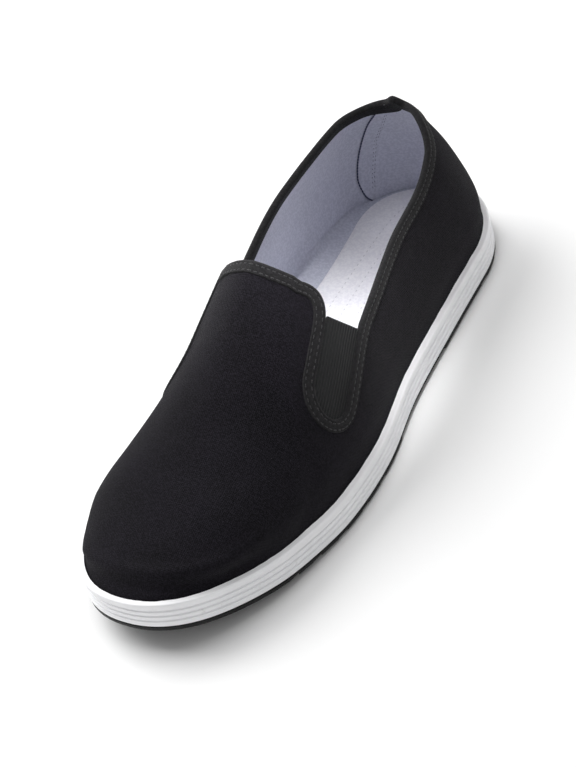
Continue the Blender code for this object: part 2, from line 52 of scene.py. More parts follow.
# %% [markdown]
# ## Camera
# The shoe is seen from above its toe, a little from the outer side, with the camera rolled so that
# the heel leans to the right. The camera keeps the eye point from which the shoe was seen and turns
# about it until the one shoe fills the frame, so that the perspective stays as it was.

# %% Camera
EYE_AZIMUTH, EYE_ELEVATION, EYE_ROLL = 38.0, 44.0, -15.1
EYE_DISTANCE = 1.70
EYE_OFFSET = (0.0753, 0.0215)
AIM = (0.003, -0.008, 0.030)
FRAME_HEIGHT, FRAME_WIDTH = 768, 576
FOCUS_PIXELS = 3900.0


def in_scene(name, data):
    """An object of this data, linked to the scene."""
    made = bpy.data.objects.new(name, data)
    bpy.context.collection.objects.link(made)
    return made


def eye_axes(azimuth, elevation, roll):
    """The right, up and back directions of a camera."""
    a, e, r = (math.radians(v) for v in (azimuth, elevation, roll))
    back = Vector((math.sin(a) * math.cos(e), -math.cos(a) * math.cos(e), math.sin(e)))
    right = Vector((math.cos(a), math.sin(a), 0))
    up = back.cross(right)
    return right * math.cos(r) + up * math.sin(r), up * math.cos(r) - right * math.sin(r), back


right, up, back = eye_axes(EYE_AZIMUTH, EYE_ELEVATION, EYE_ROLL)
eye = right * EYE_OFFSET[0] + up * EYE_OFFSET[1] + back * EYE_DISTANCE
to_eye = (eye - Vector(AIM)).normalized()
level_right = up.cross(to_eye).normalized()
axes = Matrix((level_right, to_eye.cross(level_right), to_eye)).transposed()

lens = bpy.data.cameras.new("camera")
lens.sensor_width = 36.0
lens.lens = FOCUS_PIXELS / max(FRAME_HEIGHT, FRAME_WIDTH) * lens.sensor_width
lens.clip_start = 0.05
camera = in_scene("camera", lens)
camera.matrix_world = Matrix.Translation(eye) @ axes.to_4x4()
bpy.context.scene.camera = camera
print("lens", round(lens.lens, 1), "mm, eye at", [round(v, 3) for v in eye])

# %% [markdown]
# ## Floor and light
# A plain white floor, just under the tread's nubs, and a weak white sky give the even studio look.
# The main softbox stands high on the inner side, so the vamp's top and inner side catch it, the
# outer side and the toe's wall stay darker, and the soft shadow lies on the outer side. A weak box
# hangs overhead, one behind the heel draws a pale rim on the cotton, and a narrow spot lights the
# inside of the collar.

# %% Floor and light
FLOOR, FLOOR_REACH = -0.00046, 6.0
floor_mesh = bpy.data.meshes.new("floor")
floor_corners = ((-1, -1), (1, -1), (1, 1), (-1, 1))
floor_mesh.from_pydata([(x * FLOOR_REACH, y * FLOOR_REACH, FLOOR) for x, y in floor_corners], [], [(0, 1, 2, 3)])
floor = in_scene("floor", floor_mesh)
floor_white = bpy.data.materials.new("floor_white")
floor_white.use_nodes = True
floor_shader = floor_white.node_tree.nodes["Principled BSDF"]
floor_shader.inputs["Base Color"].default_value = (0.90, 0.90, 0.90, 1)
floor_shader.inputs["Roughness"].default_value = 0.7
floor_mesh.materials.append(floor_white)

sky = bpy.data.worlds.new("studio")
bpy.context.scene.world = sky
sky.use_nodes = True
sky.node_tree.nodes["Background"].inputs["Color"].default_value = (1, 1, 1, 1)
sky.node_tree.nodes["Background"].inputs["Strength"].default_value = 0.42
bpy.context.scene.view_settings.view_transform = "Standard"


def lamp(name, kind, place, target, power):
    """A lamp that points from its place to a target."""
    light = bpy.data.lights.new(name, kind)
    light.energy = power
    made = in_scene(name, light)
    made.location = place
    made.rotation_euler = (Vector(target) - Vector(place)).to_track_quat("-Z", "Y").to_euler()
    return light


def softbox(name, place, target, size, power):
    light = lamp(name, "AREA", place, target, power)
    light.shape = "RECTANGLE"
    light.size, light.size_y = size


softbox("key", (-0.95, 0.05, 1.05), (0, 0, 0.03), (1.10, 1.10), 21.5)
softbox("top", (0.00, 0.10, 1.60), (0, 0, 0.03), (0.80, 0.80), 5.0)
softbox("heel", (0.10, 1.00, 0.60), (0, 0.05, 0.05), (0.6, 0.3), 2.0)
snoot = lamp("collar", "SPOT", (0.16, 0.04, 1.17), (0.000, 0.018, 0.03), 118.0)
snoot.spot_size, snoot.spot_blend, snoot.shadow_soft_size = math.radians(4.8), 1.0, 0.04

# %% [markdown]
# ## The sole's outline
# A short table gives the sole's middle and half width from heel to toe, and rounded ends close it.
# The same functions place the band, the tread, the footbed and the foot of the upper, so that all of
# them follow one line. The front of the shoe rises with the toe spring.

# %% Sole sizes
LATERAL, MEDIAL = 1.0, -1.0
SOLE_LENGTH = 0.280
BALL_WIDTH = 0.104
TREAD_HEIGHT = 0.0027
BAND_HEIGHT = 0.0136
DECK_DEPTH = 0.0060
LIP_WIDTH = 0.0024
TOE_SPRING = 0.0130
WAIST_RECESS = 0.0011
EDGE_ROUNDING = 0.0007
CHEVRON_WIDTH = 0.0050
CHEVRON_DEPTH = 0.0011
CHEVRON_SPACING = 0.0160
CHEVRON_REACH = 0.0090
CHEVRON_PITCH = 0.0240
HEEL_TREAD_LENGTH = 0.0240
FOREFOOT_TREAD_LENGTH = 0.0720
INSOLE_THICKNESS = 0.0030
GAP = 0.0003

SOLE_ROWS = (
    (0.00, 0.004, 0.345),
    (0.12, -0.002, 0.368),
    (0.28, 0.006, 0.388),
    (0.42, 0.024, 0.404),
    (0.56, 0.022, 0.474),
    (0.68, -0.006, 0.500),
    (0.80, -0.034, 0.463),
    (0.90, -0.053, 0.427),
    (1.00, -0.058, 0.405),
)
HEEL_ROUND, HEEL_POWER = 0.14, 2.1
TOE_ROUND, TOE_POWER = 0.23, 2.2
BALL_LINE = 0.66
HEEL_BREAST, FOREFOOT_BAR = 0.30, 0.50
HEEL_PAD_START, FOREFOOT_PAD_START = 0.10, 0.575

# %% Outline functions
def smooth_table(rows, column, places):
    """The column's value at each place, on a smooth curve through the rows."""
    x = np.array([row[0] for row in rows])
    y = np.array([row[column] for row in rows])
    slopes = np.gradient(y, x)
    places = np.clip(places, x[0], x[-1])
    k = np.clip(np.searchsorted(x, places, side="right") - 1, 0, len(x) - 2)
    span = x[k + 1] - x[k]
    t = (places - x[k]) / span
    return (
        y[k] * (1 + 2 * t) * (1 - t) ** 2
        + y[k + 1] * t * t * (3 - 2 * t)
        + slopes[k] * span * t * (1 - t) ** 2
        - slopes[k + 1] * span * t * t * (1 - t)
    )


def along_of(y):
    """The place along the length, 0 at the heel and 1 at the toe, of a plan coordinate."""
    return 0.5 - y / SOLE_LENGTH


def y_of(along):
    return (0.5 - along) * SOLE_LENGTH


def lift(y):
    """How far toe spring raises the sole and all on it."""
    ahead = np.clip((along_of(y) - BALL_LINE) / (1 - BALL_LINE), 0, 1)
    return TOE_SPRING * ahead**2


def outline_point(angle):
    """A point of the sole's outline: angle 0 at the heel, half a turn at the toe, lateral side first."""
    along = (1 - np.cos(angle)) / 2
    heel = np.clip(1 - along / HEEL_ROUND, 0, 1)
    toe = np.clip((along - 1 + TOE_ROUND) / TOE_ROUND, 0, 1)
    rounding = np.where(
        along < 0.5,
        (1 - heel**HEEL_POWER) ** (1 / HEEL_POWER),
        (1 - toe**TOE_POWER) ** (1 / TOE_POWER),
    )
    side = np.where(np.sin(angle) >= 0, LATERAL, MEDIAL)
    middle = smooth_table(SOLE_ROWS, 1, along)
    half = smooth_table(SOLE_ROWS, 2, along) * rounding
    return np.stack([(middle + side * half) * BALL_WIDTH, y_of(along)], axis=-1)


def inset_outline(angles, inset):
    """The outline moved inwards by inset."""
    step = 1e-3
    tangent = outline_point(angles + step) - outline_point(angles - step)
    tangent /= np.linalg.norm(tangent, axis=-1, keepdims=True)
    inward = np.stack([tangent[..., 1], -tangent[..., 0]], axis=-1)
    return outline_point(angles) + inward * inset


def fine_angles(stations):
    """Angles round the outline, in pairs across the sole."""
    half = np.linspace(0, math.pi, stations // 2 + 1)
    return np.concatenate([half, 2 * math.pi - half[-2:0:-1]])


print("ball width", round(float(np.ptp(outline_point(fine_angles(400))[:, 0])) * 1000, 1), "mm")

# %% [markdown]
# ## Helpers for pieces
# Each piece becomes a mesh at the origin with its place in its points, a UV map in metres where a
# weave follows the cloth, and smooth shading with sharp edges kept. One function also hangs the
# piece on the root body and hides the plain solids that it replaces.

# %% Piece helpers
OFFSET_ROWS = 0.87


def mesh_piece(name, points, faces, finish, uv=None, sharp=40):
    """An object of these points and faces, its faces turned outwards. uv gives each point's place."""
    mesh = bpy.data.meshes.new(name)
    mesh.from_pydata(np.asarray(points, float).tolist(), [], [tuple(map(int, f)) for f in faces])
    shape = bmesh.new()
    shape.from_mesh(mesh)
    if uv is not None:
        layer = shape.loops.layers.uv.new("UVMap")
        shape.verts.ensure_lookup_table()
        for face in shape.faces:
            for corner in face.loops:
                corner[layer].uv = uv[corner.vert.index]
    bmesh.ops.recalc_face_normals(shape, faces=shape.faces)
    shape.to_mesh(mesh)
    shape.free()
    mesh.shade_smooth()
    mesh.set_sharp_from_angle(angle=math.radians(sharp))
    mesh.materials.append(finish)
    made = in_scene(name, mesh)
    print(name, len(mesh.polygons), "faces")
    return made


def stands_for(piece, slot, *nodes):
    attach(piece, "root")
    if nodes:
        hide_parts(*nodes)


def ladder(first, count):
    """Faces across a ring of paired stations that starts at vertex first."""
    half = count // 2
    faces = [(first, first + 1, first + count - 1)]
    for k in range(1, half - 1):
        faces.append((first + k, first + k + 1, first + count - k - 1, first + count - k))
    faces.append((first + half - 1, first + half, first + half + 1))
    return faces


def bands(ring_count, count, closed=False):
    """Faces between rings of count points each, the last ring joined to the first if closed."""
    faces = []
    for r in range(ring_count if closed else ring_count - 1):
        a, b = r * count, (r + 1) % ring_count * count
        for k in range(count):
            n = (k + 1) % count
            faces.append((a + k, a + n, b + n, b + k))
    return faces


def path_lengths(path):
    """The distance gone along a path at each of its points."""
    return np.concatenate([[0], np.cumsum(np.linalg.norm(np.diff(path, axis=0), axis=1))])


def swept_uv(path, ring_count, step):
    """A UV map for rings swept along a path: the distance gone, and one step for each ring."""
    gone = path_lengths(path)
    return np.concatenate([np.column_stack([gone, np.full(len(gone), k * step)]) for k in range(ring_count)])


# %% [markdown]
# ## Shared effects for the finishes
# Two small groups of shader nodes serve several finishes. The first makes a woven height from the
# cloth's own UV map, and a thread value that the finishes use as painted shade between the threads.
# The second gives a mask in soft patches and a finer grain, which break up colour, roughness and relief.

# %% Node helpers
def group(name, inputs, outputs):
    """An empty node group with float inputs given as name: default, and float outputs."""
    tree = bpy.data.node_groups.new(name, "ShaderNodeTree")
    for label, value in inputs.items():
        kind = "NodeSocketVector" if value is None else "NodeSocketFloat"
        socket = tree.interface.new_socket(label, in_out="INPUT", socket_type=kind)
        if value is not None:
            socket.default_value = value
    for label in outputs:
        tree.interface.new_socket(label, in_out="OUTPUT", socket_type="NodeSocketFloat")
    return tree, tree.nodes.new("NodeGroupInput"), tree.nodes.new("NodeGroupOutput")


def feed(tree, socket, value):
    """Links a socket to another one, or sets its value."""
    if isinstance(value, bpy.types.NodeSocket):
        tree.links.new(value, socket)
    else:
        socket.default_value = value


def add(tree, kind, settings=None, **links):
    """A node with its sockets linked or set. A link's name is its socket's name or its number."""
    node = tree.nodes.new(kind)
    for key, value in (settings or {}).items():
        setattr(node, key, value)
    for key, value in links.items():
        name = key.replace("_", " ")
        socket = node.inputs[int(key[1:])] if key[0] == "n" and key[1:].isdigit() else node.inputs[name]
        feed(tree, socket, value)
    return node


def math_node(tree, operation, a, b=0.0, c=0.0):
    return add(tree, "ShaderNodeMath", {"operation": operation}, n0=a, n1=b, n2=c).outputs[0]


def noise_node(tree, place, scale, detail, settings=None, **more):
    node = add(tree, "ShaderNodeTexNoise", settings, Vector=place, Scale=scale, Detail=detail, **more)
    return node.outputs[0]


def ramp(tree, value, low, high, to_low=0.0, to_high=1.0):
    node = add(tree, "ShaderNodeMapRange", {"clamp": True}, Value=value)
    node.inputs["From Min"].default_value = low
    node.inputs["From Max"].default_value = high
    node.inputs["To Min"].default_value = to_low
    node.inputs["To Max"].default_value = to_high
    return node.outputs["Result"]


# %% Weave and patch groups
FLAT_NOISE = {"noise_dimensions": "2D"}


def make_weave():
    """Height of a plain weave: warp and weft threads that pass over each other in turn."""
    tree, start, end = group("weave", {"Place": None, "Threads": 2000.0, "Slub": 0.3}, ["Height", "Thread"])
    place = add(tree, "ShaderNodeVectorMath", {"operation": "SCALE"}, n0=start.outputs["Place"])
    tree.links.new(start.outputs["Threads"], place.inputs["Scale"])
    wander = noise_node(tree, place.outputs[0], 0.13, 2.0, FLAT_NOISE)
    split = add(tree, "ShaderNodeSeparateXYZ", n0=place.outputs[0])
    bend = math_node(tree, "MULTIPLY_ADD", wander, 2.4, -1.2)
    u = math_node(tree, "MULTIPLY", math_node(tree, "MULTIPLY_ADD", bend, 0.5, split.outputs[0]), math.pi)
    v = math_node(tree, "MULTIPLY", math_node(tree, "MULTIPLY_ADD", bend, 0.5, split.outputs[1]), math.pi)
    across = math_node(tree, "ABSOLUTE", math_node(tree, "SINE", u))
    along = math_node(tree, "ABSOLUTE", math_node(tree, "SINE", v))
    turns = math_node(tree, "MULTIPLY", math_node(tree, "COSINE", u), math_node(tree, "COSINE", v))
    over = ramp(tree, turns, -0.4, 0.4)
    mixed = add(tree, "ShaderNodeMix", {"data_type": "FLOAT"}, n0=over, n2=across, n3=along)
    slub = noise_node(tree, place.outputs[0], 0.4, 3.0, FLAT_NOISE)
    thick = math_node(tree, "MULTIPLY", slub, start.outputs["Slub"])
    height = math_node(tree, "ADD", mixed.outputs[0], thick)
    tree.links.new(height, end.inputs["Height"])
    # Thread is high on the crown of the thread that lies over and low between threads; the finishes use it as
    # painted shade in their colour.
    tree.links.new(mixed.outputs[0], end.inputs["Thread"])
    return tree


def make_patches():
    """A soft mask in uneven patches, with a finer grain over it."""
    tree, start, end = group("patches", {"Place": None, "Scale": 30.0, "Grain": 400.0}, ["Patch", "Grain"])
    broad = noise_node(tree, start.outputs["Place"], start.outputs["Scale"], 4.0)
    fine = noise_node(tree, start.outputs["Place"], start.outputs["Grain"], 3.0)
    tree.links.new(ramp(tree, broad, 0.35, 0.65), end.inputs["Patch"])
    tree.links.new(ramp(tree, fine, 0.3, 0.7), end.inputs["Grain"])
    return tree


WEAVE, PATCHES = make_weave(), make_patches()
print("effect groups:", WEAVE.name, PATCHES.name)

# %% Finish helpers
SHEEN_ROUGHNESS, REFRACTION = 0.5, 1.45


def finish(name, sheen=0.0, specular=0.5):
    """A material with its shader, ready for its colour, roughness and bump."""
    made = bpy.data.materials.new(name)
    made.use_nodes = True
    tree = made.node_tree
    shader = tree.nodes["Principled BSDF"]
    shader.inputs["Sheen Weight"].default_value = sheen
    shader.inputs["Sheen Roughness"].default_value = SHEEN_ROUGHNESS
    shader.inputs["Specular IOR Level"].default_value = specular
    shader.inputs["IOR"].default_value = REFRACTION
    return made, tree, shader


def place_of(tree, kind="UV"):
    return tree.nodes.new("ShaderNodeTexCoord").outputs[kind]


def use(tree, effect, **values):
    """A node that runs a shared effect with these inputs."""
    node = tree.nodes.new("ShaderNodeGroup")
    node.node_tree = effect
    for key, value in values.items():
        feed(tree, node.inputs[key], value)
    return node


def blend_colours(tree, share, first, second):
    """A mix of two colours, each given as red, green and blue or as a socket."""
    node = add(tree, "ShaderNodeMix", {"data_type": "RGBA"}, n0=share)
    for number, value in ((6, first), (7, second)):
        feed(tree, node.inputs[number], value if isinstance(value, bpy.types.NodeSocket) else (*value, 1.0))
    return node.outputs[2]


def bump(tree, shader, height, distance):
    node = add(tree, "ShaderNodeBump", Height=height, Distance=distance, Strength=1.0)
    tree.links.new(node.outputs[0], shader.inputs["Normal"])


# %% [markdown]
# ## Cloth finishes
# The cotton is nearly black with a faint violet cast, matt, with a soft sheen where it turns away.
# The lining is a pale blue-grey cotton, the footbed a white plain weave, the tape a closer plain weave
# and the gores a ribbed elastic. All of them read the piece's own UV map, so the threads run with it.

# %% Cloth finishes
CLOTH_PATCH = 35.0


def woven(
    name, dark, light, threads, depth, sheen, rough=(0.78, 0.92), slub=0.35, specular=0.25, grain=900.0
):
    """A woven cloth: threads in relief, colour between two shades in patches and grain, and painted
    shade that darkens the colour between the threads and lightens it on their crowns.
    """
    made, tree, shader = finish(name, sheen=sheen, specular=specular)
    place = place_of(tree)
    weave = use(tree, WEAVE, Place=place, Threads=threads, Slub=slub)
    patches = use(tree, PATCHES, Place=place_of(tree, "Object"), Scale=CLOTH_PATCH, Grain=grain)
    # Painted shade: the colour is darker in the hollows between threads and lighter on their crowns.
    thread_shade = math_node(tree, "MULTIPLY", weave.outputs["Thread"], 0.3)
    both = math_node(tree, "MULTIPLY_ADD", patches.outputs["Patch"], 0.25, thread_shade)
    both = math_node(tree, "MULTIPLY_ADD", ramp(tree, patches.outputs["Grain"], 0.34, 0.70), 0.55, both)
    tree.links.new(blend_colours(tree, both, dark, light), shader.inputs["Base Color"])
    tree.links.new(ramp(tree, patches.outputs["Patch"], 0, 1, *rough), shader.inputs["Roughness"])
    bump(tree, shader, weave.outputs["Height"], depth)
    return made


COTTON = woven(
    "black_cotton", (0.0012, 0.0010, 0.0016), (0.0142, 0.0126, 0.0172), 1200.0, 0.00020, 0.04,
    specular=0.08, grain=1400.0,
)
LINING = woven("pale_lining", (0.46, 0.470, 0.560), (0.62, 0.630, 0.720), 2200.0, 0.00006, 0.15, slub=0.2)
FOOTBED = woven(
    "white_footbed", (0.80, 0.79, 0.84), (0.93, 0.92, 0.95), 1600.0, 0.00008, 0.2, rough=(0.45, 0.6)
)
TAPE = woven(
    "black_tape", (0.0040, 0.0038, 0.0044), (0.0160, 0.0152, 0.0168), 2600.0, 0.00010, 0.06, specular=0.2
)
ELASTIC_RIB, ELASTIC_PICK = 0.0015, 0.0007


def ribbed_elastic():
    """Elastic webbing: rubber cords under the cloth show as fine ribs, with painted shade between them."""
    made, tree, shader = finish("black_elastic", sheen=0.07, specular=0.25)
    place = place_of(tree)
    split = add(tree, "ShaderNodeSeparateXYZ", n0=place)
    ribs = math_node(tree, "SINE", math_node(tree, "MULTIPLY", split.outputs[0], 2 * math.pi / ELASTIC_RIB))
    picks = math_node(tree, "SINE", math_node(tree, "MULTIPLY", split.outputs[1], 2 * math.pi / ELASTIC_PICK))
    height = math_node(tree, "MULTIPLY_ADD", picks, 0.35, ribs)
    patches = use(tree, PATCHES, Place=place_of(tree, "Object"), Scale=60.0, Grain=900.0)
    # Painted shade: the colour is lighter on the ribs and darker in the hollows between them.
    rib_shade = ramp(tree, height, -1.2, 1.2)
    by_patch = math_node(tree, "MULTIPLY", patches.outputs["Patch"], 0.4)
    share = math_node(tree, "MULTIPLY_ADD", rib_shade, 0.6, by_patch)
    colour = blend_colours(tree, share, (0.0036, 0.0038, 0.0041), (0.0112, 0.0118, 0.0126))
    tree.links.new(colour, shader.inputs["Base Color"])
    tree.links.new(ramp(tree, patches.outputs["Grain"], 0, 1, 0.6, 0.8), shader.inputs["Roughness"])
    bump(tree, shader, height, 0.00012)
    return made


ELASTIC = ribbed_elastic()


def thread(name, dark, light):
    """Twisted sewing thread, seen as fine slanting bands, with painted shade in the grooves of the twist."""
    made, tree, shader = finish(name, sheen=0.2, specular=0.4)
    place = place_of(tree, "Object")
    wave = add(tree, "ShaderNodeTexWave", {"bands_direction": "DIAGONAL"}, Vector=place, Scale=900.0)
    # Painted shade: the colour follows the twist's relief, darker in its grooves and lighter on its ridges.
    tree.links.new(blend_colours(tree, wave.outputs["Fac"], dark, light), shader.inputs["Base Color"])
    tree.links.new(ramp(tree, wave.outputs["Fac"], 0, 1, 0.5, 0.65), shader.inputs["Roughness"])
    bump(tree, shader, wave.outputs["Fac"], 0.00005)
    return made


BLACK_THREAD = thread("black_thread", (0.012, 0.0115, 0.013), (0.036, 0.035, 0.038))
NAVY_THREAD = thread("navy_thread", (0.030, 0.033, 0.075), (0.060, 0.065, 0.130))
WHITE_THREAD = thread("white_thread", (0.55, 0.54, 0.58), (0.75, 0.74, 0.77))

# %% [markdown]
# ## Rubber finishes
# The band is smooth white rubber with a few faint grey specks. The tread is black rubber with a fine
# uneven skin, mottled in soft patches.

# %% Rubber finishes
def white_rubber():
    made, tree, shader = finish("white_rubber", specular=0.45)
    place = place_of(tree, "Object")
    patches = use(tree, PATCHES, Place=place, Scale=45.0, Grain=1500.0)
    speck = noise_node(tree, place, 260.0, 6.0, Roughness=0.7)
    dirt = math_node(tree, "MULTIPLY", ramp(tree, speck, 0.60, 0.74), patches.outputs["Patch"])
    base = blend_colours(tree, patches.outputs["Patch"], (0.86, 0.86, 0.88), (0.91, 0.91, 0.925))
    faint = math_node(tree, "MULTIPLY", dirt, 0.35)
    tree.links.new(blend_colours(tree, faint, base, (0.42, 0.40, 0.38)), shader.inputs["Base Color"])
    tree.links.new(ramp(tree, patches.outputs["Grain"], 0, 1, 0.40, 0.56), shader.inputs["Roughness"])
    bump(tree, shader, patches.outputs["Grain"], 0.00003)
    return made


def black_rubber():
    made, tree, shader = finish("black_rubber", specular=0.25)
    place = place_of(tree, "Object")
    patches = use(tree, PATCHES, Place=place, Scale=38.0, Grain=1200.0)
    colour = blend_colours(tree, patches.outputs["Patch"], (0.006, 0.006, 0.0065), (0.016, 0.016, 0.0165))
    tree.links.new(colour, shader.inputs["Base Color"])
    tree.links.new(ramp(tree, patches.outputs["Grain"], 0, 1, 0.45, 0.68), shader.inputs["Roughness"])
    bump(tree, shader, patches.outputs["Grain"], 0.00006)
    return made


WHITE_RUBBER, BLACK_RUBBER = white_rubber(), black_rubber()
print("finishes:", len(bpy.data.materials))

# %% [markdown]
# ## The white band
# The moulded sole shows as a white band of about 14 mm with three fine grooves round it and a lip
# that holds the cotton. It is one ring of sections swept round the outline. At its top the rubber
# creeps up against the cloth by an uneven fraction of a millimetre, as it does when it is pressed on.

# %% White band
BAND_STATIONS = 440
GROOVE_WIDTH, GROOVE_DEPTH = 0.0012, 0.0008
GROOVES = (0.26, 0.48, 0.70)
LIP_ROUND = 0.0009
CREEP_LEAST, CREEP_MORE = 0.0002, 0.0004


def deck_height():
    return TREAD_HEIGHT + GAP + BAND_HEIGHT - DECK_DEPTH


def rings_to_piece(name, rings, angles, surface, closed_top=True):
    count = len(angles)
    faces = bands(len(rings), count) + ladder(0, count)
    if closed_top:
        faces += ladder((len(rings) - 1) * count, count)
    return mesh_piece(name, np.concatenate(rings), faces, surface, sharp=50)


def ring(angles, inset, height):
    plan = inset_outline(angles, inset)
    return np.column_stack([plan, height + lift(plan[:, 1])])


def band_profile():
    """Inset and height of the band's section, from its bottom edge up and over the lip."""
    bottom = TREAD_HEIGHT + GAP
    top = bottom + BAND_HEIGHT
    path = [
        (EDGE_ROUNDING, bottom),
        (EDGE_ROUNDING * 0.3, bottom + EDGE_ROUNDING * 0.3),
        (0, bottom + EDGE_ROUNDING),
    ]
    for share in GROOVES:
        middle = bottom + share * BAND_HEIGHT
        for t in np.linspace(-1, 1, 9):
            path.append((GROOVE_DEPTH * math.cos(t * math.pi / 2) ** 1.5, middle + t * GROOVE_WIDTH / 2))
    for t in np.linspace(0, math.pi / 2, 6):
        path.append((LIP_ROUND * (1 - math.cos(t)), top - LIP_ROUND + LIP_ROUND * math.sin(t)))
    return path, top


def creep_at(plan):
    """How far the rubber has crept up the cloth at plan points."""
    rise = np.array([
        noise.noise(Vector((*(p * 160), 0.0))) + 0.5 * noise.noise(Vector((*(p * 420), 3.0))) for p in plan
    ])
    return CREEP_LEAST + CREEP_MORE * np.clip(rise + 0.2, 0, 1)


band_angles = fine_angles(BAND_STATIONS)
path, band_top = band_profile()
rings = [ring(band_angles, *step) for step in path]
creep = creep_at(rings[-1][:, :2])
for inset, rise in ((LIP_WIDTH * 0.75, 0.0), (LIP_WIDTH * 0.98, 0.35), (LIP_WIDTH + GAP * 0.9, 1.0)):
    edge = ring(band_angles, inset, band_top)
    edge[:, 2] += creep * rise
    rings.append(edge)
rings.append(ring(band_angles, LIP_WIDTH + GAP * 0.9, band_top - 0.003))
rings.append(ring(band_angles, LIP_WIDTH, band_top - DECK_DEPTH))
white_band = rings_to_piece("white_band", rings, band_angles, WHITE_RUBBER)
stands_for(white_band, "midsole", "midsole")

# %% [markdown]
# ## The tread
# The thin black tread has a heel pad and a forefoot pad with zigzag channels, and a waist that stands
# off the floor. The plate is swept like the band and the channels are cut with a Boolean. Rows of
# small nubs between the channels are a repeated pattern, so Geometry Nodes place them on points.

# %% Tread plate
PADS = ((HEEL_PAD_START, HEEL_TREAD_LENGTH), (FOREFOOT_PAD_START, FOREFOOT_TREAD_LENGTH))
LOWER_RINGS = 3


def tread_floor(y):
    """The tread's lowest surface: the waist between heel and forefoot stands off the floor."""
    along = along_of(y)
    return np.where((along > HEEL_BREAST) & (along < FOREFOOT_BAR), WAIST_RECESS, 0.0)


def channel_middles():
    """The plan places of the zigzag channels, pad by pad."""
    return [
        y_of(start) - k * CHEVRON_SPACING
        for start, length in PADS
        for k in range(math.ceil(length / CHEVRON_SPACING))
    ]


def zigzag(y):
    """Points and faces of a cutter for one zigzag groove across the sole at y."""
    turns = math.ceil(BALL_WIDTH / CHEVRON_PITCH) + 1
    x = (np.arange(2 * turns + 1) - turns) * CHEVRON_PITCH / 2
    middle = y + CHEVRON_REACH / 2 * np.where(np.arange(len(x)) % 2, 1, -1)
    half = CHEVRON_WIDTH / 2 * math.hypot(1, 2 * CHEVRON_REACH / CHEVRON_PITCH)
    points = []
    for px, py in zip(x, middle):
        top = float(lift(py)) + CHEVRON_DEPTH
        for dy, z in ((-half, -CHEVRON_DEPTH), (half, -CHEVRON_DEPTH), (half, top), (-half, top)):
            points.append((px, py + dy, z))
    faces = [(3, 2, 1, 0)]
    for k in range(len(x) - 1):
        for c in range(4):
            a, b = 4 * k + c, 4 * k + (c + 1) % 4
            faces.append((a, b, b + 4, a + 4))
    last = 4 * (len(x) - 1)
    faces.append((last, last + 1, last + 2, last + 3))
    return points, faces


tread_angles = fine_angles(BAND_STATIONS)
plate_path = (
    (EDGE_ROUNDING * 2, 0.0), (EDGE_ROUNDING, EDGE_ROUNDING * 0.25), (GAP, EDGE_ROUNDING),
    (GAP, TREAD_HEIGHT - EDGE_ROUNDING / 2), (EDGE_ROUNDING, TREAD_HEIGHT),
)
rings = []
for k, (inset, height) in enumerate(plate_path):
    one = ring(tread_angles, inset, height)
    if k < LOWER_RINGS:
        one[:, 2] += tread_floor(one[:, 1])
    rings.append(one)
tread_plate = rings_to_piece("tread_plate", rings, tread_angles, BLACK_RUBBER)
cut_points, cut_faces = [], []
for middle in channel_middles():
    more, sides = zigzag(middle)
    cut_faces += [tuple(i + len(cut_points) for i in face) for face in sides]
    cut_points += more
channels = mesh_piece("channels", cut_points, cut_faces, BLACK_RUBBER)
cut = tread_plate.modifiers.new("channels", "BOOLEAN")
cut.operation = "DIFFERENCE"
cut.object = channels
graph = bpy.context.evaluated_depsgraph_get()
cut_mesh = bpy.data.meshes.new_from_object(tread_plate.evaluated_get(graph))
tread_plate.modifiers.clear()
tread_plate.data = cut_mesh
bpy.data.objects.remove(channels)
stands_for(tread_plate, "outsole", "outsole")
print("tread plate", len(cut_mesh.polygons), "faces")

# %% [markdown]
# ## Stitches and nubs with Geometry Nodes
# A stitch is a short rounded thread laid along its seam, a nub is a small round knob, and a rib of
# the waist is a row of bars. One tree serves them all: it puts a rounded bar on each point of a guide
# mesh, turned along the point's own "along" and "up" directions, and sizes it by three named inputs.

# %% Repeat tree
ACROSS, AHEAD, UPWARD = (1.0, 0.0, 0.0), (0.0, 1.0, 0.0), (0.0, 0.0, 1.0)


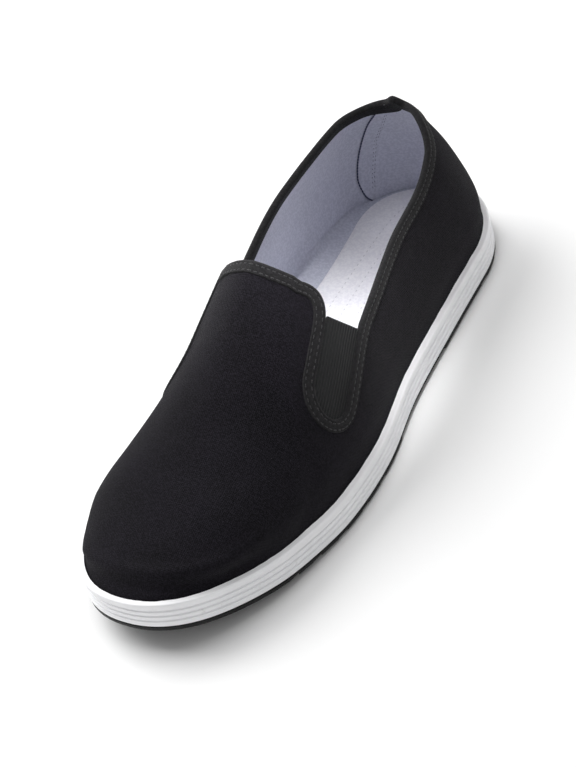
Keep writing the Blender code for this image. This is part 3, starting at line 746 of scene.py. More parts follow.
def repeat_tree(name, surface):
    """Puts a small rounded bar on every point, turned by the point's directions."""
    tree = bpy.data.node_groups.new(name, "GeometryNodeTree")
    tree.interface.new_socket("Geometry", in_out="INPUT", socket_type="NodeSocketGeometry")
    for label, value in (("Length", 0.002), ("Width", 0.0004), ("Height", 0.0003)):
        socket = tree.interface.new_socket(label, in_out="INPUT", socket_type="NodeSocketFloat")
        socket.default_value = value
    tree.interface.new_socket("Geometry", in_out="OUTPUT", socket_type="NodeSocketGeometry")
    nodes, links = tree.nodes, tree.links
    start, end = nodes.new("NodeGroupInput"), nodes.new("NodeGroupOutput")
    bar = nodes.new("GeometryNodeMeshUVSphere")
    bar.inputs["Segments"].default_value = 6
    bar.inputs["Rings"].default_value = 4
    bar.inputs["Radius"].default_value = 0.5
    size = nodes.new("ShaderNodeCombineXYZ")
    for k, label in enumerate(("Length", "Width", "Height")):
        links.new(start.outputs[label], size.inputs[k])
    along, upward = nodes.new("GeometryNodeInputNamedAttribute"), nodes.new("GeometryNodeInputNamedAttribute")
    for node, label in ((along, "along"), (upward, "up")):
        node.data_type = "FLOAT_VECTOR"
        node.inputs["Name"].default_value = label
    turn = nodes.new("FunctionNodeAlignRotationToVector")
    turn.axis = "X"
    links.new(along.outputs[0], turn.inputs["Vector"])
    rise = nodes.new("FunctionNodeAlignRotationToVector")
    rise.axis, rise.pivot_axis = "Z", "X"
    links.new(turn.outputs[0], rise.inputs["Rotation"])
    links.new(upward.outputs[0], rise.inputs["Vector"])
    put = nodes.new("GeometryNodeInstanceOnPoints")
    links.new(start.outputs["Geometry"], put.inputs["Points"])
    links.new(bar.outputs["Mesh"], put.inputs["Instance"])
    links.new(rise.outputs[0], put.inputs["Rotation"])
    links.new(size.outputs[0], put.inputs["Scale"])
    real, skin = nodes.new("GeometryNodeRealizeInstances"), nodes.new("GeometryNodeSetMaterial")
    skin.inputs["Material"].default_value = surface
    links.new(put.outputs[0], real.inputs[0])
    links.new(real.outputs[0], skin.inputs["Geometry"])
    links.new(skin.outputs[0], end.inputs[0])
    return tree


def repeat_on(name, places, along, upward, surface, length, width, height):
    """One mesh of small bars at these places, with one direction for all of them or one for each."""
    guide = bpy.data.meshes.new(name)
    guide.from_pydata(np.asarray(places, float).tolist(), [], [])
    for label, values in (("along", along), ("up", upward)):
        field = guide.attributes.new(label, "FLOAT_VECTOR", "POINT")
        spread = np.broadcast_to(np.asarray(values, np.float32), (len(places), 3))
        field.data.foreach_set("vector", spread.ravel())
    made = in_scene(name, guide)
    tree = repeat_tree(name + "_tree", surface)
    repeat = made.modifiers.new("repeat", "NODES")
    repeat.node_group = tree
    for item in tree.interface.items_tree:
        if item.in_out == "INPUT" and item.name in ("Length", "Width", "Height"):
            repeat[item.identifier] = {"Length": length, "Width": width, "Height": height}[item.name]
    graph = bpy.context.evaluated_depsgraph_get()
    mesh = bpy.data.meshes.new_from_object(made.evaluated_get(graph))
    made.modifiers.clear()
    made.data = mesh
    mesh.shade_smooth()
    if not mesh.materials:
        mesh.materials.append(surface)
    print(name, len(places), "copies,", len(mesh.polygons), "faces")
    return made


# %% Tread nubs
NUB_PITCH, NUB_WIDTH, NUB_HEIGHT, NUB_MARGIN = 0.0026, 0.0015, 0.0009, 0.005
NUB_HEEL, NUB_FOREFOOT = (0.02, HEEL_BREAST - 0.045), (FOREFOOT_BAR + 0.055, 0.98)
TREAD_REACH = 0.06


def on_tread(plan):
    """Points on the tread's lowest surface over plan points."""
    return np.column_stack([plan, lift(plan[:, 1]) + tread_floor(plan[:, 1])])


def outline_half_width(y):
    """Medial and lateral edges of the sole at a plan place."""
    side = outline_point(np.linspace(0, math.pi, 400))
    other = outline_point(np.linspace(2 * math.pi, math.pi, 400))
    return np.interp(-y, -other[:, 1], other[:, 0]), np.interp(-y, -side[:, 1], side[:, 0])


def nub_places():
    """The nubs in plan, in offset rows under the heel and the forefoot."""
    rows = []
    for k, y in enumerate(np.arange(y_of(0.975), y_of(0.02), NUB_PITCH * OFFSET_ROWS)):
        place = along_of(y)
        if not (NUB_HEEL[0] < place < NUB_HEEL[1] or NUB_FOREFOOT[0] < place < NUB_FOREFOOT[1]):
            continue
        low, high = outline_half_width(np.array([y]))
        x = np.arange(-TREAD_REACH, TREAD_REACH, NUB_PITCH) + (k % 2) * NUB_PITCH / 2
        x = x[(x > low[0] + NUB_MARGIN) & (x < high[0] - NUB_MARGIN)]
        rows.append(np.column_stack([x, np.full(len(x), y)]))
    return np.concatenate(rows)


def in_channel(plan):
    """Which plan points lie in a zigzag channel or too near to one."""
    phase = np.abs((plan[:, 0] / CHEVRON_PITCH) % 1 * 2 - 1)
    turns = math.ceil(BALL_WIDTH / CHEVRON_PITCH) + 1
    wave = (phase * 2 - 1) * (CHEVRON_REACH / 2) * (1 if turns % 2 == 0 else -1)
    found = np.zeros(len(plan), bool)
    for middle in channel_middles():
        found |= np.abs(plan[:, 1] - middle - wave) < CHEVRON_WIDTH / 2 * 1.25 + NUB_WIDTH / 2
    return found


plan = nub_places()
places = on_tread(plan[~in_channel(plan)])
tread_nubs = repeat_on(
    "tread_nubs", places, ACROSS, UPWARD, BLACK_RUBBER, NUB_WIDTH, NUB_WIDTH, NUB_HEIGHT
)
stands_for(tread_nubs, "outsole")

# %% [markdown]
# ## Hatching of the waist
# The recessed waist of the tread has panels of fine slanting ribs, turned the other way in each next
# panel. Short bars laid end to end in rows make them, kept clear of the panel's and the sole's edge.

# %% Waist hatching
PANELS, PANEL_GAP = 4, 0.0016
HATCH_STEP, HATCH_BAR, HATCH_WIDTH, HATCH_HEIGHT = 0.0019, 0.0030, 0.0007, 0.0007
HATCH_MARGIN, WAIST_MARGIN = 0.006, 0.003


def hatching():
    """The middles of the bars in plan, and the way that each runs."""
    front_end, back_end = y_of(FOREFOOT_BAR) + WAIST_MARGIN, y_of(HEEL_BREAST) - WAIST_MARGIN
    panel = (back_end - front_end) / PANELS
    runs = np.arange(-TREAD_REACH, TREAD_REACH, HATCH_BAR * 0.95)
    run, step = np.meshgrid(runs, np.arange(-TREAD_REACH, TREAD_REACH, HATCH_STEP))
    plans, ways = [], []
    for k in range(PANELS):
        slant = 1 if k % 2 else -1
        way = np.array([math.sqrt(0.5), slant * math.sqrt(0.5), 0.0])
        middle = front_end + (k + 0.5) * panel
        x = run.ravel() * way[0] - step.ravel() * way[1]
        y = middle + run.ravel() * way[1] + step.ravel() * way[0]
        low, high = outline_half_width(y)
        kept = (x > low + HATCH_MARGIN) & (x < high - HATCH_MARGIN)
        kept &= np.abs(y - middle) < panel / 2 - PANEL_GAP
        plans.append(np.column_stack([x, y])[kept])
        ways.append(np.tile(way, (kept.sum(), 1)))
    return np.concatenate(plans), np.concatenate(ways)


plan, ways = hatching()
waist_ribs = repeat_on(
    "waist_ribs", on_tread(plan), ways, UPWARD, BLACK_RUBBER, HATCH_BAR, HATCH_WIDTH, HATCH_HEIGHT
)
stands_for(waist_ribs, "outsole")

# %% [markdown]
# ## The last
# The upper follows the form of a foot. Ribs climb from the sole's edge to a ridge over the foot, and
# fan out round the toe and the heel. A flat pattern carries every line of the shoe: the opening, the
# gores and the seams are drawn flat, as a shoemaker cuts them, and then laid on the form. The same
# pattern gives the cloth its UV map. A slight unevenness keeps the cotton from looking moulded.

# %% Upper sizes
WALL = 0.0014
TOE_BOX_HEIGHT = 0.0398
INSTEP_HEIGHT = 0.0964
CREST_HEIGHT = 0.0985
HEEL_HEIGHT = 0.0771
SIDE_BULGE = 0.0015
VAMP_LENGTH = 0.1419
TONGUE_WIDTH = 0.0753
TONGUE_SAG = 0.0079
TONGUE_RADIUS = 0.0120
GORE_LENGTH = 0.0431
GORE_WIDTH = 0.0212
GORE_SLANT = 0.0043
GORE_HEM = 0.0030
GORE_THICKNESS = 0.0010
GORE_SETBACK = 0.0004
MOUTH_RADIUS = 0.0120
BINDING_WIDTH = 0.0050
BINDING_THICKNESS = 0.0006
HEEL_PEAK = 0.0034
HEEL_PEAK_WIDTH = 0.0200
OUTLINE_SAMPLES, RIB_SAMPLES, NORMAL_STEP, SMALLEST_AREA = 1441, 81, 0.0003, 1e-10
CLOSEST_POINTS, ROW_CLEARANCE = 0.0003, 0.0022
ARC_SEGMENTS, GORE_SEGMENTS, QUARTER_SEGMENTS = 14, 14, 84

RIDGE_ROWS = (
    (0.00, 1.00, 0.00, 0.00),
    (0.25, 0.98, 0.00, 0.00),
    (0.46, 0.00, 1.00, 0.00),
    (0.60, 0.00, 0.77, 0.00),
    (0.72, 0.00, 0.29, 0.71),
    (0.85, 0.00, 0.00, 1.13),
    (1.00, 0.00, 0.00, 0.95),
)
RIDGE_FRONT, RIDGE_BACK = 0.83, 0.125
SWAY_ROWS = (
    (0.00, 0.009),
    (0.16, -0.037),
    (0.32, -0.069),
    (0.50, -0.062),
    (0.83, 0.000),
    (1.00, 0.000),
)
SECTION_ROWS = (
    (0.00, 1.41, 1.21, 1.19, 1.10),
    (0.45, 1.22, 1.01, 1.13, 0.98),
    (0.65, 1.03, 1.16, 1.12, 1.25),
    (0.83, 0.77, 0.77, 0.77, 0.77),
    (1.00, 0.77, 0.77, 0.77, 0.77),
)
TOPLINE_ROWS = (
    (0.30, 0.810, 0.930),
    (0.55, 0.840, 0.975),
    (0.80, 1.000, 0.955),
    (1.00, 1.000, 1.000),
)

# %% The form
class Last:
    """The upper's outer form over the foot, reached through a flat pattern.

    The pattern's y axis is the ridge over the foot. A pattern point's distance from the ridge is
    measured along the surface, straight across the shoe in its middle, and along ribs that fan out
    at the toe and the heel. The pattern's +X is the lateral side.
    """

    def __init__(self):
        angles = np.linspace(0, 2 * math.pi, OUTLINE_SAMPLES)
        feather = inset_outline(angles, LIP_WIDTH + GAP)
        half = OUTLINE_SAMPLES // 2
        self.lateral, self.medial = feather[: half + 1], feather[half:]
        self.front, self.back = y_of(RIDGE_FRONT), y_of(RIDGE_BACK)
        self.fans = []
        for origin_y, toward in ((self.front, -1.0), (self.back, 1.0)):
            origin = np.array([self.ridge_x(origin_y), origin_y])
            arm = feather[:-1] - origin
            turn = np.arctan2(arm[:, 0], toward * arm[:, 1])
            order = np.argsort(turn)
            self.fans.append((toward, turn[order], np.linalg.norm(arm, axis=1)[order]))

    def ridge_x(self, y):
        """The ridge follows the middle of the sole, and sways from it where the foot does."""
        place = along_of(y)
        return (smooth_table(SOLE_ROWS, 1, place) + smooth_table(SWAY_ROWS, 1, place)) * BALL_WIDTH

    def reach(self, origin_y, direction):
        """How far the feather edge lies from the ridge, in plan, in a direction."""
        y = origin_y
        ridge = self.ridge_x(y)
        lateral = np.interp(-y, -self.lateral[:, 1], self.lateral[:, 0]) - ridge
        medial = ridge - np.interp(y, self.medial[:, 1], self.medial[:, 0])
        distance = np.where(direction[:, 0] >= 0, lateral, medial)
        for toward, turns, lengths in self.fans:
            inside = toward * direction[:, 1] > 1e-9
            turn = np.arctan2(direction[:, 0], toward * direction[:, 1])
            fan = np.interp(turn, turns, lengths, period=2 * math.pi)
            distance = np.where(inside, fan, distance)
        return distance

    def rib_points(self, origin_y, direction, reach, v):
        """Points of ribs, one row of v for each rib, from 0 at the feather edge to 1 at the ridge."""
        origin = origin_y[:, None]
        reach = reach[:, None]
        sideways, onward = direction[:, :1], direction[:, 1:]
        foot = deck_height() + GAP + lift(origin + onward * reach)
        place = along_of(origin)
        lateral = (1 + sideways) / 2
        flat, steep = (
            lateral * smooth_table(SECTION_ROWS, k, place)
            + (1 - lateral) * smooth_table(SECTION_ROWS, k + 2, place)
            for k in (1, 2)
        )
        out = np.cos(v * math.pi / 2).clip(0) ** flat
        up = np.sin(v * math.pi / 2) ** steep
        plan = reach * out
        ridge = self.ridge_height(origin + onward * plan)
        z = foot + (ridge - foot) * up
        lip = DECK_DEPTH + GAP
        over = np.clip((z - foot - lip) / (2 * lip), 0, 1)
        plan = plan + SIDE_BULGE * over * over * (3 - 2 * over) * out
        x = self.ridge_x(origin) + sideways * plan
        return np.stack([x, origin + onward * plan, z], axis=-1)

    def ridge_height(self, y):
        place = along_of(y)
        heights = (CREST_HEIGHT, INSTEP_HEIGHT, TOE_BOX_HEIGHT)
        return sum(h * smooth_table(RIDGE_ROWS, k + 1, place) for k, h in enumerate(heights))

    def rib_lengths(self, origin_y, direction, reach):
        """Distances along ribs from the ridge, at even steps of v from 1 down to 0."""
        steps = np.linspace(1, 0, RIB_SAMPLES)
        points = self.rib_points(origin_y, direction, reach, np.tile(steps, (len(reach), 1)))
        pieces = np.linalg.norm(np.diff(points, axis=1), axis=2)
        lengths = np.concatenate([np.zeros((len(reach), 1)), np.cumsum(pieces, axis=1)], axis=1)
        return steps, lengths, points

    def split(self, pattern):
        """Where on the ridge each pattern point's rib starts, its direction and its distance."""
        origin_y = np.clip(pattern[:, 1], self.front, self.back)
        arm = pattern - np.stack([np.zeros(len(pattern)), origin_y], axis=1)
        distance = np.linalg.norm(arm, axis=1)
        near = distance < 1e-9
        direction = np.where(near[:, None], (1.0, 0.0), arm / np.maximum(distance, 1e-9)[:, None])
        return origin_y, direction, distance

    def skin(self, pattern):
        """Points of the outer surface for pattern points."""
        origin_y, direction, distance = self.split(pattern)
        reach = self.reach(origin_y, direction)
        steps, lengths, _ = self.rib_lengths(origin_y, direction, reach)
        distance = np.minimum(distance, lengths[:, -1])
        k = np.clip((lengths < distance[:, None]).sum(axis=1), 1, len(steps) - 1)
        row = np.arange(len(k))
        share = (distance - lengths[row, k - 1]) / (lengths[row, k] - lengths[row, k - 1])
        v = steps[k - 1] + share * (steps[k] - steps[k - 1])
        return self.rib_points(origin_y, direction, reach, v[:, None])[:, 0]

    def frame(self, pattern):
        """Outer points, with the surface's two pattern slopes and its outward normal."""
        slopes = []
        for axis in (0, 1):
            step = np.zeros(2)
            step[axis] = NORMAL_STEP
            ahead, behind = self.skin(pattern + step), self.skin(pattern - step)
            slopes.append((ahead - behind) / (2 * NORMAL_STEP))
        normal = np.cross(slopes[0], slopes[1])
        normal /= np.linalg.norm(normal, axis=1, keepdims=True)
        return self.skin(pattern), slopes, normal

    def at(self, pattern, height):
        """Points that stand off the outer surface by height, which is negative inside."""
        pattern = np.asarray(pattern, float)
        points, _, normal = self.frame(pattern)
        return points + normal * np.broadcast_to(height, len(points))[:, None]

    def feather_pattern(self, angles):
        """Pattern points of the feather edge at the stations."""
        foot = inset_outline(angles, LIP_WIDTH + GAP)
        origin_y = np.clip(foot[:, 1], self.front, self.back)
        arm = foot - np.stack([self.ridge_x(origin_y), origin_y], axis=1)
        direction = arm / np.linalg.norm(arm, axis=1, keepdims=True)
        reach = np.linalg.norm(arm, axis=1)
        _, lengths, _ = self.rib_lengths(origin_y, direction, reach)
        origin = np.stack([np.zeros(len(foot)), origin_y], axis=1)
        return origin, direction, lengths[:, -1]

    def pattern_at_height(self, origin_y, direction, height):
        """The pattern points of ribs where they reach a height over the floor."""
        reach = self.reach(origin_y, direction)
        _, lengths, points = self.rib_lengths(origin_y, direction, reach)
        found = [
            np.interp(-h, -points[k, :, 2], lengths[k]) for k, h in enumerate(height)
        ]
        origin = np.stack([np.zeros(len(found)), origin_y], axis=1)
        return origin + direction * np.array(found)[:, None]

# %% Opening in the pattern
def arc(middle, radius, start, end, segments):
    turns = np.linspace(start, end, segments + 1)
    return middle + radius * np.stack([np.cos(turns), np.sin(turns)], axis=1)


def fillet(before, corner, after, radius, segments):
    """Points that round the corner of a path with a curve tangent to both its sides."""
    first = (before - corner) / np.linalg.norm(before - corner)
    second = (after - corner) / np.linalg.norm(after - corner)
    opening = math.acos(float(np.clip(first @ second, -1, 1)))
    back = radius / math.tan(opening / 2)
    t = np.linspace(0, 1, segments + 1)[:, None]
    start, end = corner + first * back, corner + second * back
    return start * (1 - t) ** 2 + corner * 2 * t * (1 - t) + end * t**2


def gore_axes():
    """The gore's run towards the toe and its width direction, on the lateral side of the pattern."""
    run = np.array([GORE_SLANT, -GORE_LENGTH])
    run /= np.linalg.norm(run)
    return run, np.array([-run[1], run[0]])


def tongue_corner():
    return np.array([TONGUE_WIDTH / 2, y_of(1) + VAMP_LENGTH + TONGUE_SAG])


def quarter_edge(last, start, side):
    """A side's top edge in the pattern, from start near the gore to the middle of the heel."""
    start_height = last.skin(start[None])[0, 2]
    quarter_turn = math.pi / 2
    heel_length = last.lateral[0, 1] - last.back
    run = (last.back - start[1]) + heel_length * quarter_turn
    place = np.linspace(0, 1, QUARTER_SEGMENTS + 1)[1:]
    went = place * run
    origin_y = np.minimum(start[1] + went, last.back)
    turn = np.clip((went - (last.back - start[1])) / heel_length, 0, quarter_turn)
    direction = np.stack([side * np.cos(turn), np.sin(turn)], axis=1)
    start_share = start_height / HEEL_HEIGHT
    rows = ((0.0, start_share, start_share), *TOPLINE_ROWS)
    height = smooth_table(rows, 1 if side == LATERAL else 2, place) * HEEL_HEIGHT
    near = np.clip(1 - (1 - place) * run / (HEEL_PEAK_WIDTH / 2), 0, 1)
    height = height + HEEL_PEAK * near * near * (3 - 2 * near)
    return last.pattern_at_height(origin_y, direction, height)


def uncrowded(path):
    """The path without the points that lie too close to the one before."""
    kept = [path[0]]
    for point in path[1:-1]:
        if np.linalg.norm(point - kept[-1]) >= CLOSEST_POINTS:
            kept.append(point)
    return np.array([*kept, path[-1]])


def side_edge(last, side):
    """One side of the opening's edge in the pattern, from the throat over the gore to the heel."""
    run, across = gore_axes()
    corner = tongue_corner()
    far = corner + across * GORE_WIDTH
    middle = corner + across * GORE_WIDTH / 2 + run * (GORE_LENGTH - GORE_WIDTH / 2)
    throat = np.array([0.0, corner[1] - TONGUE_SAG])
    share = np.linspace(0, 1, 9)[:, None]
    tongue = throat + share * np.array([corner[0], 0.0]) + share**2 * np.array([0.0, TONGUE_SAG])
    rounded = fillet(tongue[-2], corner, corner + run, TONGUE_RADIUS, ARC_SEGMENTS)
    tongue = tongue[tongue[:, 0] < rounded[0, 0] - ROW_CLEARANCE]
    turn = math.atan2(-across[1], -across[0])
    bottom = arc(middle, GORE_WIDTH / 2, turn, turn + math.pi, 2 * ARC_SEGMENTS)
    t = np.linspace(0, 1, GORE_SEGMENTS + 1)[1:-1, None]
    down = rounded[-1] * (1 - t) + bottom[0] * t
    mirror = (side, 1)
    quarter = quarter_edge(last, far * mirror, side) * mirror
    mouth = fillet(bottom[-1], far, quarter[1], MOUTH_RADIUS, ARC_SEGMENTS // 2)
    up = bottom[-1] * (1 - t) + mouth[0] * t
    quarter = quarter[np.linalg.norm(quarter - far, axis=1) > MOUTH_RADIUS]
    edge = np.concatenate([tongue, rounded, down, bottom, up, mouth, quarter])
    return uncrowded(edge) * mirror


def topline(last):
    """The closed edge of the opening in the pattern: tongue, gore, quarter and back on the other side."""
    return np.concatenate([side_edge(last, LATERAL), side_edge(last, MEDIAL)[-2:0:-1]])


def inside(points, loop):
    """Which points lie inside a closed pattern path."""
    found = np.zeros(len(points), bool)
    for a, b in zip(loop, np.roll(loop, -1, axis=0)):
        crosses = (a[1] > points[:, 1]) != (b[1] > points[:, 1])
        with np.errstate(divide="ignore", invalid="ignore"):
            x = a[0] + (points[:, 1] - a[1]) / (b[1] - a[1]) * (b[0] - a[0])
        found ^= crosses & (points[:, 0] < x)
    return found


def distance_to(points, loop):
    """The distance of each point from a closed pattern path."""
    nearest = np.full(len(points), np.inf)
    for a, b in zip(loop, np.roll(loop, -1, axis=0)):
        d = b - a
        t = np.clip((points - a) @ d / (d @ d), 0, 1)
        nearest = np.minimum(nearest, np.linalg.norm(points - a - t[:, None] * d, axis=1))
    return nearest


def triangulate(loops, extra, keep):
    """Triangles between the closed pattern paths and the extra points, where keep says so."""
    points = np.concatenate([*loops, extra])
    edges, first = [], 0
    for loop in loops:
        count = len(loop)
        edges += [(first + k, first + (k + 1) % count) for k in range(count)]
        first += count
    made = delaunay_2d_cdt([tuple(p) for p in points], edges, [], 0, 1e-7)
    order = np.array([ids[0] for ids in made[3]])
    faces = order[np.array(made[2])]
    first, second, third = (points[faces[:, k]] for k in range(3))
    ahead, aside = second - first, third - first
    area = np.abs(ahead[:, 0] * aside[:, 1] - ahead[:, 1] * aside[:, 0]) / 2
    centres = (first + second + third) / 3
    return points, faces[(area > SMALLEST_AREA) & keep(centres)]


# A fold is a path in the pattern with a half width and a rise, which is negative for a trough
FOLDS = (
    (((-0.045, -0.104), (-0.038, -0.118), (-0.027, -0.1255), (-0.010, -0.1295), (0.006, -0.1285),
      (0.020, -0.1235), (0.034, -0.1125), (0.043, -0.099), (0.050, -0.082)), 0.0031, 0.0018),
    (((-0.051, -0.106), (-0.044, -0.121), (-0.031, -0.1320), (-0.012, -0.1370), (0.008, -0.1360),
      (0.024, -0.1305), (0.040, -0.1180), (0.050, -0.102), (0.058, -0.083)), 0.0040, -0.0018),
    (((0.046, -0.046), (0.058, -0.060), (0.064, -0.078)), 0.0060, -0.0006),
    (((-0.050, -0.040), (-0.060, -0.058), (-0.064, -0.078)), 0.0065, -0.0006),
    (((-0.040, -0.056), (-0.022, -0.066), (0.004, -0.064), (0.028, -0.058)), 0.0075, -0.00050),
    (((-0.036, -0.072), (-0.012, -0.080), (0.016, -0.079), (0.036, -0.071)), 0.0080, -0.00040),
    (((-0.030, -0.010), (-0.020, -0.035), (-0.004, -0.055)), 0.0070, -0.00045),
    (((0.060, 0.030), (0.066, 0.060), (0.060, 0.090)), 0.0100, -0.0006),
    (((-0.060, 0.030), (-0.066, 0.060), (-0.060, 0.090)), 0.0100, -0.0005),
)


def path_distance(points, path):
    """The distance of each point from an open path, and its share along the path."""
    path = np.array(path, float)
    nearest, share = np.full(len(points), np.inf), np.zeros(len(points))
    for k, (a, b) in enumerate(zip(path[:-1], path[1:])):
        d = b - a
        s = np.clip((points - a) @ d / (d @ d), 0, 1)
        off = np.linalg.norm(points - a - s[:, None] * d, axis=1)
        closer = off < nearest
        nearest[closer], share[closer] = off[closer], (k + s[closer]) / (len(path) - 1)
    return nearest, share


def soft_path(path, steps=24):
    """The path rounded with smooth joints."""
    path = np.array(path, float)
    at = np.linspace(0, 1, len(path))
    rows = np.column_stack([at, path])
    fine = np.linspace(0, 1, steps)
    return np.column_stack([smooth_table(rows, 1, fine), smooth_table(rows, 2, fine)])


ROUND_FOLDS = [(soft_path(path), width, rise) for path, width, rise in FOLDS]


def unevenness(pattern, points):
    """The rise and fall of soft cloth and its folds, fading out at the sole."""
    foot = deck_height() + GAP + lift(points[:, 1])
    fade = np.clip((points[:, 2] - foot - DECK_DEPTH) / 0.004, 0, 1)
    rise = np.array([
        0.00040 * noise.noise(Vector(p) * 24) + 0.00018 * noise.noise(Vector(p) * 80 + Vector((5, 0, 0)))
        for p in points.tolist()
    ])
    for path, width, height in ROUND_FOLDS:
        off, share = path_distance(pattern, path)
        rise += height * np.exp(-((off / width) ** 2)) * np.clip(np.sin(math.pi * share) * 1.6, 0, 1)
    edge = distance_to(pattern, opening_line)
    return rise * fade * np.clip((edge - BINDING_WIDTH * 0.8) / 0.008, 0.25, 1)


class SoftLast(Last):
    """The form with the cloth's unevenness added to every height over it."""

    def at(self, pattern, height):
        pattern = np.asarray(pattern, float)
        points, _, normal = self.frame(pattern)
        height = np.broadcast_to(height, len(points)) + unevenness(pattern, points)
        return points + normal * height[:, None]


last = SoftLast()
opening = topline(last)
opening_line = opening[::3]
throat_height = float(last.skin(opening[:1])[0, 2])
print("opening", len(opening), "points, throat at", round(throat_height * 1000, 1), "mm")

# %% Cloth mesh helpers
def lattice(low, high, step):
    """Points in offset rows between two corners."""
    rows = []
    for k, y in enumerate(np.arange(low[1], high[1], step * OFFSET_ROWS)):
        x = np.arange(low[0], high[0], step) + (k % 2) * step / 2
        rows.append(np.column_stack([x, np.full(len(x), y)]))
    return np.concatenate(rows)


def sheet(name, points, faces, loops, heights, surface):
    """A cloth of two faces between two heights over the form, its UV map the pattern in metres."""
    top, bottom = heights
    count = len(points)
    both = np.concatenate([last.at(points, top), last.at(points, bottom)])
    sides, first = [], 0
    for loop in loops:
        n = len(loop)
        for k in range(n):
            a, b = first + k, first + (k + 1) % n
            sides.append((a, b, b + count, a + count))
        first += n
    lids = [tuple(f) for f in faces] + [tuple(f[::-1] + count) for f in faces]
    return mesh_piece(name, both, lids + sides, surface, uv=np.concatenate([points, points]), sharp=60)


# %% [markdown]
# ## Cotton shell and lining
# The shell and the lining are two thin cloths on the same form, one outside and one inside, as in the
# real shoe, so that the pale lining shows only within. Both are filled with a close lattice of points
# between the sole's edge and the opening.

# %% Shell and lining
CLOTH_STEP = 0.0019
SHELL_SHARE, CLOTH_GAP = 0.55, 0.00005

foot_angles = fine_angles(300)
origin, direction, length = last.feather_pattern(foot_angles)
feather = origin + direction * length[:, None]
grid = lattice(feather.min(axis=0), feather.max(axis=0), CLOTH_STEP)
near_edge = np.minimum(distance_to(grid, feather), distance_to(grid, opening))
grid = grid[inside(grid, feather) & ~inside(grid, opening) & (near_edge > CLOTH_STEP * 0.45)]
loops = (feather, opening)
cloth_points, cloth_faces = triangulate(loops, grid, lambda c: inside(c, feather) & ~inside(c, opening))
cotton_shell = sheet("cotton_shell", cloth_points, cloth_faces, loops, (0.0, -WALL * SHELL_SHARE), COTTON)
stands_for(cotton_shell, "upper", "upper")
lining = sheet("lining", cloth_points, cloth_faces, loops, (-WALL * SHELL_SHARE - CLOTH_GAP, -WALL), LINING)
stands_for(lining, "upper")

# %% [markdown]
# ## Elastic gores
# Each gore is a ribbed panel that fills its slot a little below the cotton. Its UV map is turned to
# the slot, so that the ribs run along it.

# %% Gores
GORE_TUCK, GORE_STEP = 0.0006, 0.0012


def gore_path(side):
    """The elastic panel's closed outline in the pattern, clear of the binding round it."""
    run, across = gore_axes()
    corner = tongue_corner()
    clear = BINDING_THICKNESS + 2 * GAP
    half = GORE_WIDTH / 2 - clear
    middle = corner + across * GORE_WIDTH / 2
    bottom = middle + run * (GORE_LENGTH - GORE_WIDTH / 2)
    turn = math.atan2(-across[1], -across[0])
    curve = arc(bottom, half, turn, turn + math.pi, 2 * ARC_SEGMENTS)
    t = np.linspace(0, 1, GORE_SEGMENTS + 1)[:, None]
    near = middle - across * half + run * TONGUE_RADIUS * 0.75
    far = middle + across * half + run * GORE_HEM
    down = near * (1 - t[:-1]) + curve[0] * t[:-1]
    up = curve[-1] * (1 - t[1:]) + far * t[1:]
    return np.concatenate([down, curve, up]) * (side, 1)


def gore_panel(name, side):
    """The elastic panel, its sides and bottom tucked a little under the tape, its UV map along the slot."""
    path = gore_path(side)
    hem = len(path) - 1
    outward = path - path.mean(axis=0)
    outward /= np.linalg.norm(outward, axis=1, keepdims=True)
    path[1:hem] += outward[1:hem] * GORE_TUCK
    fill = lattice(path.min(axis=0), path.max(axis=0), GORE_STEP)
    fill = fill[inside(fill, path) & (distance_to(fill, path) > GORE_STEP / 2)]
    points, faces = triangulate((path,), fill, lambda c: inside(c, path))
    heights = (-GORE_SETBACK, -GORE_SETBACK - GORE_THICKNESS)
    made = sheet(name, points, faces, (path,), heights, ELASTIC)
    run, across = gore_axes()
    base = np.array([run * (side, 1), across * (side, 1)])
    layer = made.data.uv_layers["UVMap"]
    flat = np.empty(len(layer.data) * 2)
    layer.data.foreach_get("uv", flat)
    flat = flat.reshape(-1, 2) @ base.T
    layer.data.foreach_set("uv", flat[:, ::-1].ravel())
    return made


for name, side in (("gore_lateral", LATERAL), ("gore_medial", MEDIAL)):
    panel = gore_panel("elastic_" + name, side)
    stands_for(panel, name, name)

# %% [markdown]
# ## Tape round the opening
# One tape is folded over the whole edge: across the tongue, down and round both gores, along the
# quarters and over the small peak at the heel. Its folded section is swept round the opening, and the
# outer leg is a little hollow along its two rows of stitches, where the thread pulls it down.

# %% Tape
STITCH_ROWS = (0.0011, 0.0038)
PEAK_LINING = 0.0030
TAPE_FOLD, TAPE_ROUNDING, STITCH_HOLLOW = 0.0003, 0.0005, 0.00035


def edge_inward(last, loop):
    """Pattern steps that lead one metre of surface into the cloth, square to its edge."""
    _, slopes, normal = last.frame(loop)
    ahead, behind = np.roll(loop, -1, axis=0), np.roll(loop, 1, axis=0)
    flat = ahead - behind
    tangent = slopes[0] * flat[:, :1] + slopes[1] * flat[:, 1:]
    tangent /= np.linalg.norm(tangent, axis=1, keepdims=True)
    inward = np.cross(tangent, normal)
    a, b, c = ((slopes[i] * slopes[j]).sum(axis=1) for i, j in ((0, 0), (0, 1), (1, 1)))
    p, q = ((slopes[i] * inward).sum(axis=1) for i in (0, 1))
    spread = a * c - b * b
    return np.stack([(c * p - b * q) / spread, (a * q - b * p) / spread], axis=1)


